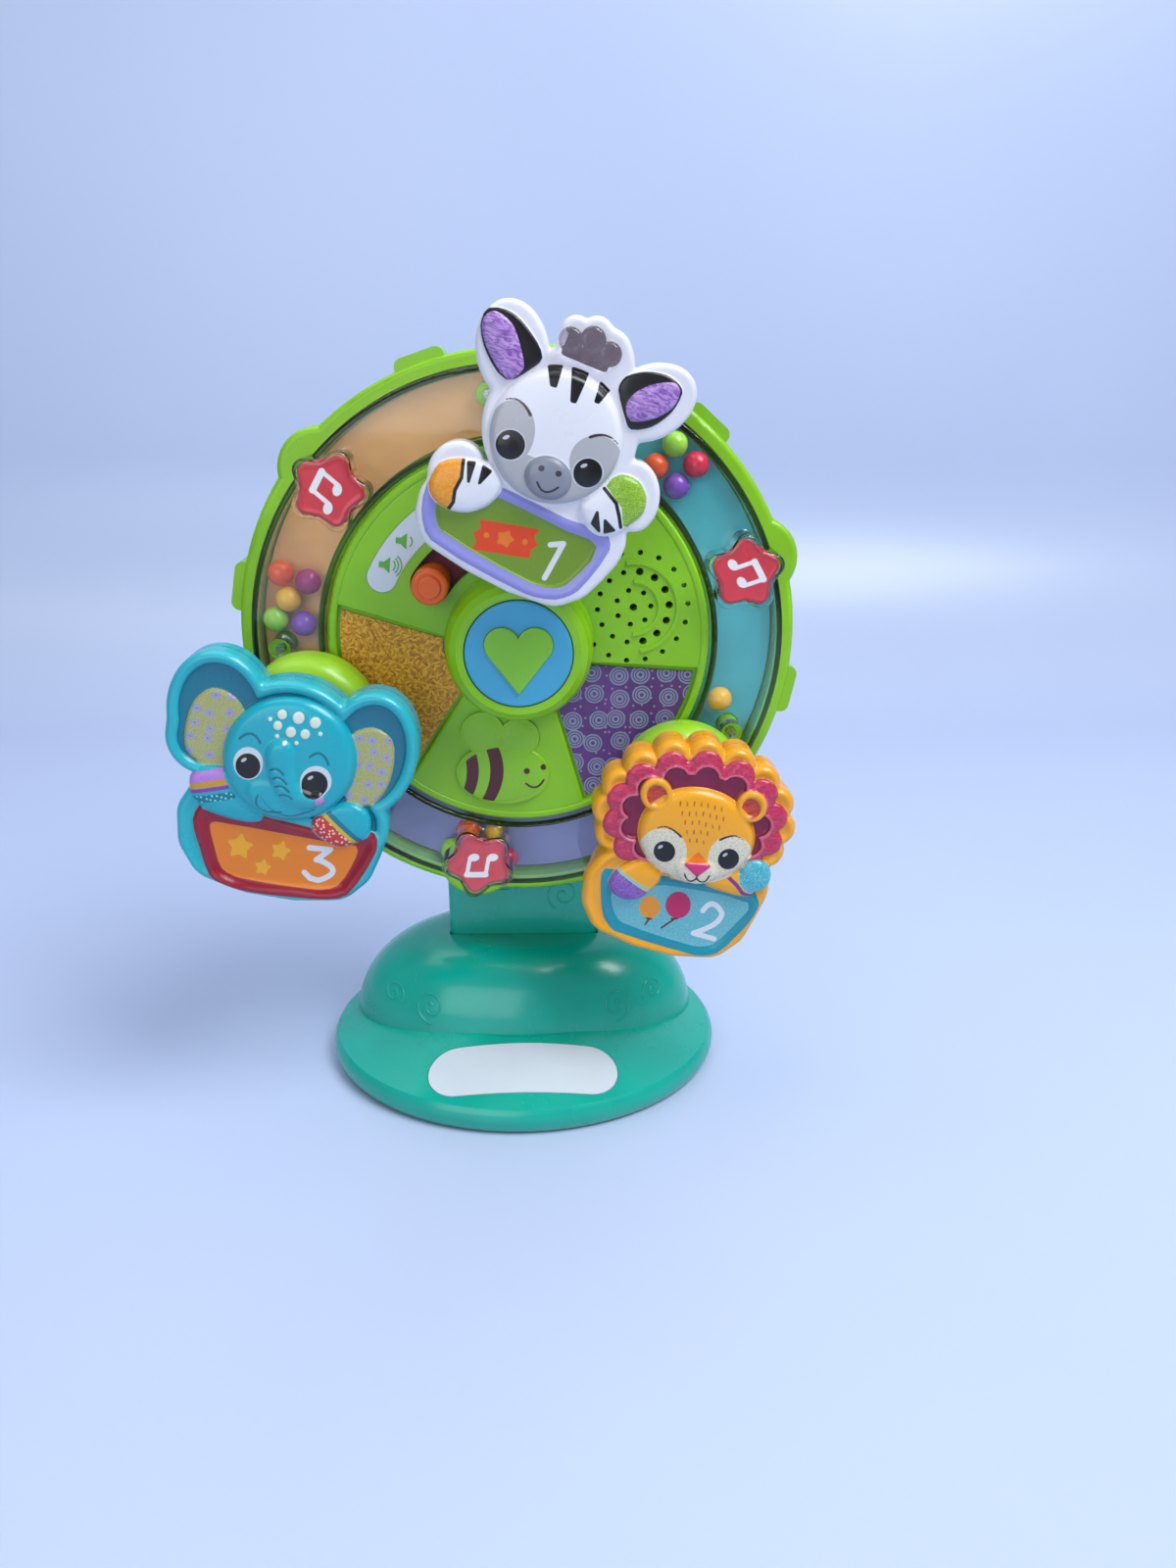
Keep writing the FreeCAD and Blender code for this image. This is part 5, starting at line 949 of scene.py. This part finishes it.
def lion_layers(x, z, h):
    mane = scallops(x, z, 23.0, 17.4, 14, 5.0, 12.0)
    inner = scallops(x, z, 19.2, 14.0, 13, 3.9, 4.0)
    x, z = drawing("lion", x, z)
    border = smooth(x, z, LION_BORDER, 1.2)
    face = oval(x, z, 0.6, -6.4, 18.2, 14.5)
    upper = -22.5 - z
    gold = rgb(238, 164, 30)
    arms = union(smooth(x, z, LION_ARM_LEFT, 0.8), smooth(x, z, LION_ARM_RIGHT, 0.8))
    cream = rgb(218, 212, 190)
    ink = rgb(44, 22, 26)
    two = (*bowed((6.0, -30.0), (8.8, -27.4), (12.2, -30.0), 6), *bowed((12.0, -31.4), (9.6, -34.4), (4.0, -37.6), 4),
           (10.8, -38.6))
    dashes = []
    for row in range(5):
        for column in range(7):
            dash_x = -6.0 + column * 2.1 + (row % 2) * 0.9
            dash_z = 4.6 - row * 2.7 - abs(column - 3) * 0.25
            if abs(dash_x - 1.0) < 8.4 - row * 1.35:
                dashes.append(stroke(x, z, ((dash_x, dash_z), (dash_x + 0.1, dash_z - 1.1)), 0.26))
    return [
        (np.maximum(mane, upper), marbled(rgb(172, 30, 74), rgb(206, 62, 96), 0.6, 2.0)),
        (np.maximum(inner, upper), rgb(124, 12, 62)),
        (np.maximum(np.abs(inner) - 0.42, upper), rgb(204, 96, 124)),
        (np.maximum(oval(x, z, 0.6, -20.0, 19.0, 5.0), z + 14.0), gold),
        (np.maximum(border, z + 20.5), rgb(20, 140, 160)),
        (smooth(x, z, LION_PANEL, 0.6), speckled(rgb(98, 176, 188), rgb(120, 190, 200), 0.8, 0.2)),
        (oval(x, z, -10.8, -31.0, 3.3, 3.6), rgb(228, 144, 34)),
        (oval(x, z, -2.0, -29.2, 4.0, 4.3), rgb(186, 24, 92)),
        (union(stroke(x, z, ((-10.6, -34.8), (-11.6, -36.8)), 0.3), stroke(x, z, ((-11.4, -34.6), (-9.8, -34.7)), 0.3),
               stroke(x, z, ((-2.6, -33.8), (-6.4, -37.2)), 0.3), stroke(x, z, ((-3.6, -33.8), (-1.6, -33.6)), 0.3)),
         rgb(96, 40, 30)),
        (stroke(x, z, two, 0.82), rgb(214, 220, 226)),
        (arms, gold),
        (np.maximum(smooth(x, z, LION_ARM_LEFT, 0.7), 0.55 * (x + 18.0) + (z + 22.6)),
         hatched(rgb(110, 66, 158), rgb(160, 120, 200))),
        (stroke(x, z, ((-22.0, -19.8), (-18.0, -22.0), (-14.2, -24.0), (-12.0, -24.4)), 0.42), rgb(110, 200, 200)),
        (dot(x, z, 20.4, -16.4, 5.2), hatched(rgb(60, 160, 180), rgb(110, 200, 208), 0.5)),
        (stroke(x, z, ((11.6, -17.2), (14.8, -19.4), (17.2, -22.0), (20.0, -22.6)), 0.6), rgb(120, 50, 140)),
        (union(dot(x, z, -13.3, 4.7, 4.9), dot(x, z, 15.9, 4.8, 4.7)), gold),
        (union(dot(x, z, -13.1, 4.3, 3.1), dot(x, z, 15.7, 4.3, 2.9)), marbled(rgb(176, 44, 40), rgb(206, 80, 50))),
        (face, gold),
        (np.maximum(union(*dashes), face + 0.4), rgb(172, 88, 26)),
        (np.maximum(union(oval(x, z, -9.4, -11.6, 7.3, 7.2), oval(x, z, 11.4, -11.0, 7.0, 7.2),
                          np.maximum(oval(x, z, 0.9, -14.0, 15.4, 7.4), z + 14.6)), face + 0.3),
         speckled(cream, rgb(196, 188, 160), 0.9, 0.22)),
        (outline(x, z, ((1.4, -10.6), (4.6, -13.6), (-1.6, -13.8)), 0.4), rgb(232, 112, 22)),
        (outline(x, z, ((-1.8, -14.2), (4.8, -13.8), (1.7, -16.8)), 0.6), rgb(206, 42, 116)),
        (union(stroke(x, z, ((1.7, -16.8), (1.7, -18.0)), 0.26),
               stroke(x, z, bowed((-2.2, -17.0), (-0.4, -19.2), (1.7, -18.0)), 0.28),
               stroke(x, z, bowed((1.7, -18.0), (4.0, -19.0), (5.6, -16.6)), 0.28),
               stroke(x, z, bowed((-12.0, -4.8), (-8.8, -4.0), (-4.6, -6.2)), 0.16, 0.36),
               stroke(x, z, bowed((7.4, -5.6), (11.4, -4.0), (14.6, -5.0)), 0.36, 0.16)), ink),
        (union(dot(x, z, -9.0, -11.5, 3.3), dot(x, z, 10.9, -11.3, 3.3)), rgb(2, 2, 4)),
        (union(oval(x, z, -10.4, -10.2, 0.9, 0.45, 40.0), oval(x, z, 9.6, -10.0, 0.9, 0.45, 40.0)),
         rgb(188, 190, 196)),
    ]


GONDOLA_STEP = 0.45
GONDOLAS = {
    "zebra": (zebra_field, zebra_layers, WHITE, (-34, -55), (34, 28), "zebra_white"),
    "elephant": (elephant_field, elephant_layers, rgb(36, 176, 190), (-38, -53), (40, 26), "elephant_teal"),
    "lion": (lion_field, lion_layers, rgb(240, 164, 26), (-34, -52), (34, 27), "lion_orange"),
}


def build_gondolas():
    step = GONDOLA_STEP
    for name, (field, layers_of, ground, low, high, slot) in GONDOLAS.items():
        relief_piece(f"{name}_painted_front", field, layers_of, ground, (*low, 30.5), (*high, 43.5), step,
                     wheel_point(PIVOT_ANGLES[name]), TILTS[name], name, [f"{name}_front_shell"])


# Star badges with a note pair

def badge_field(x, z, h):
    edge = star(x, z, 0.0, 0.0, 10.2, 90.0, 0.68, 2.6)
    top = BADGE_FACE_H - 0.25 + 0.2 * ridge(edge, -0.8, 0.6)
    return np.maximum(raised(edge, h, top, 0.4), 19.02 - h)


def badge_layers(x, z, h):
    """Two notes under one beam."""
    beam = ((-2.7, 3.4), (3.1, 4.5))
    stems = (((-2.7, 3.4), (-2.7, -2.6)), ((3.1, 4.5), (3.1, -1.5)))
    notes = union(stroke(x, z, beam, 0.95), *(stroke(x, z, stem, 0.62) for stem in stems),
                  oval(x, z, -3.9, -2.9, 1.75, 1.3, 20.0), oval(x, z, 1.9, -1.8, 1.75, 1.3, 20.0))
    edge = star(x, z, 0.0, 0.0, 10.2, 90.0, 0.68, 2.6)
    return [(-edge - 0.9, rgb(170, 18, 36)), (notes, rgb(232, 226, 234))]


def build_badges():
    for number, angle in enumerate(STAR_ANGLES, 1):
        relief_piece(f"note_badge_{number}", badge_field, badge_layers, rgb(208, 28, 48), (-11, -11, 18.5),
                     (11, 11, 20.5), 0.3, wheel_point(angle), 90.0 - angle, "wheel",
                     [f"star_badge_{number}"])


# Beads

BEAD_COLOURS = {
    "red": rgb(204, 24, 66), "green": rgb(150, 200, 60), "orange": rgb(236, 84, 30), "purple": rgb(124, 66, 176),
    "yellow": rgb(238, 176, 50), "magenta": rgb(164, 38, 110),
}
BEADS = {
    "blue_upper_beads": ("blue_beads", ("red", "green", "purple", "orange")),
    "blue_lower_bead": ("blue_low_bead", ("yellow",)),
    "orange_beads": ("orange_beads", ("orange", "magenta", "yellow", "green", "purple")),
    "lavender_beads": ("lavender_beads", ("green", "orange", "purple", "yellow", "red")),
}
LANES = (65.9, 70.9, 74.3)
BEAD_PLACES = {
    "blue_upper_beads": ((2, 45.0), (2, 51.7), (0, 44.6), (0, 52.0)),
    "blue_lower_bead": ((0, -17.0),),
    "orange_beads": ((2, 164.2), (0, 164.4), (1, 169.9), (2, 175.2), (0, 175.8)),
    "lavender_beads": ((2, 252.0), (0, 254.6), (2, 259.0), (0, 262.4), (2, 266.0)),
}
BEAD_R = 3.9
BEAD_Y = RIM_Y + 1.0 - 1.5 - 0.4 - BEAD_R


def bead_profile(rings):
    """Radius and height of a ball with a fine moulding seam round its middle."""
    profile = []
    for i in range(rings + 1):
        angle = -math.pi / 2 + math.pi * i / rings
        seam = 1.0 + 0.008 * math.exp(-(math.sin(angle) / 0.05) ** 2)
        profile.append((BEAD_R * 0.992 * math.cos(angle) * seam, BEAD_R * 0.992 * math.sin(angle)))
    return profile


def build_beads():
    materials = {name: moulded(f"{name} bead", colour, 0.2, 0.05, 0.2, soft=0.15)
                 for name, colour in BEAD_COLOURS.items()}
    rings, turns = 36, 40
    for index, (node, (body, colours)) in enumerate(BEADS.items()):
        points, faces, picks = [], [], []
        for number, (lane, angle) in enumerate(BEAD_PLACES[node]):
            x, z = wheel_point(angle, LANES[lane])
            centre = Vector((x, BEAD_Y, z))
            tip = Matrix.Rotation(0.7 + number * 1.3 + index, 3, "X") @ Matrix.Rotation(number * 2.1, 3, "Z")
            start = len(points)
            for radius, height in bead_profile(rings):
                for t in range(turns):
                    turn = 2 * math.pi * t / turns
                    point = centre + tip @ Vector((radius * math.cos(turn), radius * math.sin(turn), height))
                    points.append(point * MM)
            for r in range(rings):
                for t in range(turns):
                    a = start + r * turns + t
                    b = start + r * turns + (t + 1) % turns
                    faces.append((a, b, b + turns, a + turns))
                    picks.append(number)
        piece = new_mesh(node + "_set", points, faces, materials[colours[0]])
        for colour in colours[1:]:
            piece.data.materials.append(materials[colour])
        piece.data.polygons.foreach_set("material_index", picks)
        merged = weld(piece)
        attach(merged, body)
        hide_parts(node)


def weld(piece):
    """Joins the points that lie on one another at the poles."""
    bm = bmesh.new()
    bm.from_mesh(piece.data)
    bmesh.ops.remove_doubles(bm, verts=bm.verts, dist=1e-7)
    bmesh.ops.dissolve_degenerate(bm, edges=bm.edges, dist=1e-8)
    bmesh.ops.recalc_face_normals(bm, faces=bm.faces)
    bm.to_mesh(piece.data)
    bm.free()
    for polygon in piece.data.polygons:
        polygon.use_smooth = True
    return piece


# Bee

POD_H = 10.2


def bee_field(x, z, h):
    body = oval(x, z, -5.7, -42.3, 14.8, 10.0, 4.0)
    solid = raised(body, h, POD_H + 0.7 + 1.0 * swell(body, 9.0), 1.0)
    for wing_x, wing_z, radius in ((-11.8, -28.6, 7.0), (-0.4, -30.0, 6.4)):
        wing = dot(x, z, wing_x, wing_z, radius)
        solid = blend(solid, raised(wing, h, POD_H + 0.6 + 0.8 * swell(wing, 6.0), 0.9), 0.25)
    return np.maximum(solid, POD_H - 0.6 - h)


def bee_layers(x, z, h):
    body = oval(x, z, -5.7, -42.3, 14.8, 10.0, 4.0)
    stripes = None
    for centre, half in ((-15.2, 1.9), (-7.6, 2.1)):
        bow = x - (centre + 0.028 * (z + 42.3) ** 2 * -1.0 + 0.1 * (z + 42.3))
        band = np.abs(bow) - half
        stripes = band if stripes is None else np.minimum(stripes, band)
    ink = rgb(78, 16, 20)
    return [
        (np.maximum(stripes, body + 0.9), ink),
        (union(dot(x, z, 1.9, -41.0, 1.0), dot(x, z, 7.2, -39.8, 1.0),
               stroke(x, z, bowed((1.6, -45.2), (4.6, -46.6), (7.2, -44.2)), 0.34)), ink),
    ]


def build_bee():
    relief_piece("bee_relief", bee_field, bee_layers, rgb(136, 198, 32), (-22, -54, 9.0), (11, -20, 12.8), 0.35,
                 (0.0, WHEEL_Z), 0.0, "root", [])


# Volume signs

LABEL_H = 10.2
SIGN_RING_R = 45.3
SIGNS = ((148.6, 3), (137.4, 1))


def speaker_sign(x, z, waves):
    """A small loudspeaker with one to three sound waves."""
    sign = union(outline(x, z, ((-2.6, -0.8), (-1.2, -0.8), (0.4, -2.2), (0.4, 2.2), (-1.2, 0.8), (-2.6, 0.8)), 0.12))
    for wave in range(waves):
        radius = 1.3 + 0.95 * wave
        ring = np.abs(dot(x, z, 0.2, 0.0, radius + 0.6)) - 0.2
        sign = union(sign, np.maximum(ring, 0.75 * np.abs(z) - (x - 0.4)))
    return sign


def build_signs():
    green = moulded("green ink", rgb(96, 172, 60), 0.4, 0.08)
    for angle, waves in SIGNS:
        def field(x, z, h):
            return np.maximum(speaker_sign(x, z, waves), np.abs(h - LABEL_H) - 0.12)
        points, faces = surface_net(field, (-3.2, -3.2, LABEL_H - 0.4), (4.8, 3.2, LABEL_H + 0.4), 0.16)
        piece = new_mesh(f"volume_sign_{waves}", to_row(points, wheel_point(angle, SIGN_RING_R), 6.0), faces, green)
        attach(piece, "root")


# Raised swirls on the base

SWIRLS = (
    ((0.014, -0.010, 0.056), (0.0, 1.0, 0.0), 6.0, 1.6, 0.4),
    ((-0.006, -0.010, 0.060), (0.0, 1.0, 0.0), 4.0, -1.4, 2.0),
    ((-0.040, -0.028, 0.034), (0.55, 0.6, -0.6), 5.6, 1.6, 1.2),
    ((-0.052, -0.012, 0.030), (0.8, 0.2, -0.5), 4.2, -1.5, 3.0),
    ((0.040, -0.028, 0.034), (-0.55, 0.6, -0.6), 5.6, -1.6, 2.0),
    ((0.052, -0.012, 0.030), (-0.8, 0.2, -0.5), 4.2, 1.5, 0.0),
)
SWIRL_WIRE_R = 0.00035


def swirl_line(tree, middle, towards, radius, turns, start):
    """A spiral laid onto the base, or the part of it that lands there."""
    down = Vector(towards).normalized()
    side = down.cross(Vector((0, 0, 1)) if abs(down.z) < 0.9 else Vector((0, 1, 0))).normalized()
    across = side.cross(down)
    count = 40
    landed = []
    for i in range(count + 1):
        share = i / count
        angle = start + turns * 2 * math.pi * share
        reach = radius * MM * (0.12 + 0.88 * share)
        origin = Vector(middle) + (side * math.cos(angle) + across * math.sin(angle)) * reach - down * 0.1
        spot, normal, _, _ = tree.ray_cast(origin, down)
        if spot is None:
            return landed
        landed.append(spot)
    return landed


def tube_mesh(lines, radius):
    """Fine round lines through points, as one mesh."""
    curve = bpy.data.curves.new("line", "CURVE")
    curve.dimensions = "3D"
    curve.bevel_depth = radius
    curve.bevel_resolution = 3
    curve.use_fill_caps = True
    for line in lines:
        spline = curve.splines.new("NURBS")
        spline.points.add(len(line) - 1)
        for point, spot in zip(spline.points, line):
            point.co = (*spot, 1.0)
        spline.order_u = 3
        spline.use_endpoint_u = True
    holder = bpy.data.objects.new("line", curve)
    bpy.context.scene.collection.objects.link(holder)
    bpy.context.view_layer.update()
    shape = holder.evaluated_get(bpy.context.evaluated_depsgraph_get())
    mesh = bpy.data.meshes.new_from_object(shape)
    bpy.data.objects.remove(holder)
    bpy.data.curves.remove(curve)
    return mesh


def build_swirls():
    bm = bmesh.new()
    for name in ("base_top_shell", "column_front_shell", "column_rear_shell"):
        bm.from_mesh(NODES[name].data)
    tree = BVHTree.FromBMesh(bm)
    bm.free()
    lines = [swirl_line(tree, *swirl) for swirl in SWIRLS]
    mesh = tube_mesh([line for line in lines if len(line) > 8], SWIRL_WIRE_R)
    for polygon in mesh.polygons:
        polygon.use_smooth = True
    piece = bpy.data.objects.new("base_swirls", mesh)
    bpy.context.scene.collection.objects.link(piece)
    mesh.materials.clear()
    mesh.materials.append(MATERIALS["base_turquoise"])
    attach(piece, "root")


# Stage, light and camera

CAMERA_AT = (0.0068, -0.3708, 0.2375)
CAMERA_DOWN = 20.5
CAMERA_RIGHT = 2.37
CAMERA_ROLL = -0.55
FLOOR_COLOUR = rgb(190, 203, 232)
WALL_COLOUR = rgb(176, 190, 216)


def stage_material():
    shader = Shader("pale table")
    cloud = shader.remap(shader.noise(3.0, 4.0), 0.3, 0.7, 0.0, 1.0)
    colour = shader.mix(cloud, tuple(c * 0.95 for c in FLOOR_COLOUR[:3]) + (1.0,), FLOOR_COLOUR)
    body = shader.principled(Base_Color=colour, Roughness=0.32, Normal=shader.bump(shader.noise(900.0), 0.00002))
    return shader.finish(body)


def build_stage():
    """A table top that turns up into a plain wall behind the toy."""
    half, front, turn_y, radius, top = 3.0, -2.5, 0.36, 0.16, 2.6
    outline_points = [(front, 0.0), (turn_y, 0.0)]
    for i in range(1, 17):
        angle = math.pi / 2 * i / 16
        outline_points.append((turn_y + radius * math.sin(angle), radius * (1 - math.cos(angle))))
    outline_points.append((turn_y + radius, top))
    points = [(side * half, y, z) for y, z in outline_points for side in (-1, 1)]
    faces = [(2 * i, 2 * i + 1, 2 * i + 3, 2 * i + 2) for i in range(len(outline_points) - 1)]
    new_mesh("table_and_wall", points, faces, stage_material())


def add_lamp(name, place, target, size, power, colour):
    lamp = bpy.data.lights.new(name, "AREA")
    lamp.shape = "RECTANGLE"
    lamp.size, lamp.size_y = size
    lamp.energy = power
    lamp.color = colour
    holder = bpy.data.objects.new(name, lamp)
    holder.location = place
    holder.rotation_euler = (Vector(target) - Vector(place)).to_track_quat("-Z", "Y").to_euler()
    bpy.context.scene.collection.objects.link(holder)


def build_light():
    add_lamp("window", (0.5, -0.35, 1.0), (0, 0, 0.12), (0.6, 0.6), 11.0, (0.95, 0.98, 1.0))
    add_lamp("ceiling", (-0.3, 0.2, 1.3), (0, 0, 0.1), (1.2, 1.0), 6.0, (0.97, 0.98, 1.0))
    add_lamp("front", (-0.5, -1.2, 0.5), (0, 0, 0.12), (1.0, 0.8), 4.4, (0.96, 0.98, 1.0))
    world = bpy.data.worlds.new("room")
    world.use_nodes = True
    back = world.node_tree.nodes["Background"]
    back.inputs[0].default_value = (0.80, 0.88, 1.0, 1.0)
    back.inputs[1].default_value = 0.32
    bpy.context.scene.world = world


def build_camera():
    camera = bpy.data.cameras.new("view")
    camera.lens = 27.0
    camera.sensor_width = 36.0
    holder = bpy.data.objects.new("view", camera)
    turn = (Matrix.Rotation(math.radians(-CAMERA_RIGHT), 4, "Z")
            @ Matrix.Rotation(math.radians(90.0 - CAMERA_DOWN), 4, "X")
            @ Matrix.Rotation(math.radians(-CAMERA_ROLL), 4, "Z"))
    holder.matrix_world = Matrix.Translation(CAMERA_AT) @ turn
    bpy.context.scene.collection.objects.link(holder)
    bpy.context.scene.camera = holder
    bpy.context.scene.view_settings.view_transform = "Standard"


build_camera()
build_stage()
build_light()
dress_nodes()
build_gondolas()
build_badges()
build_beads()
build_bee()
build_signs()
build_swirls()
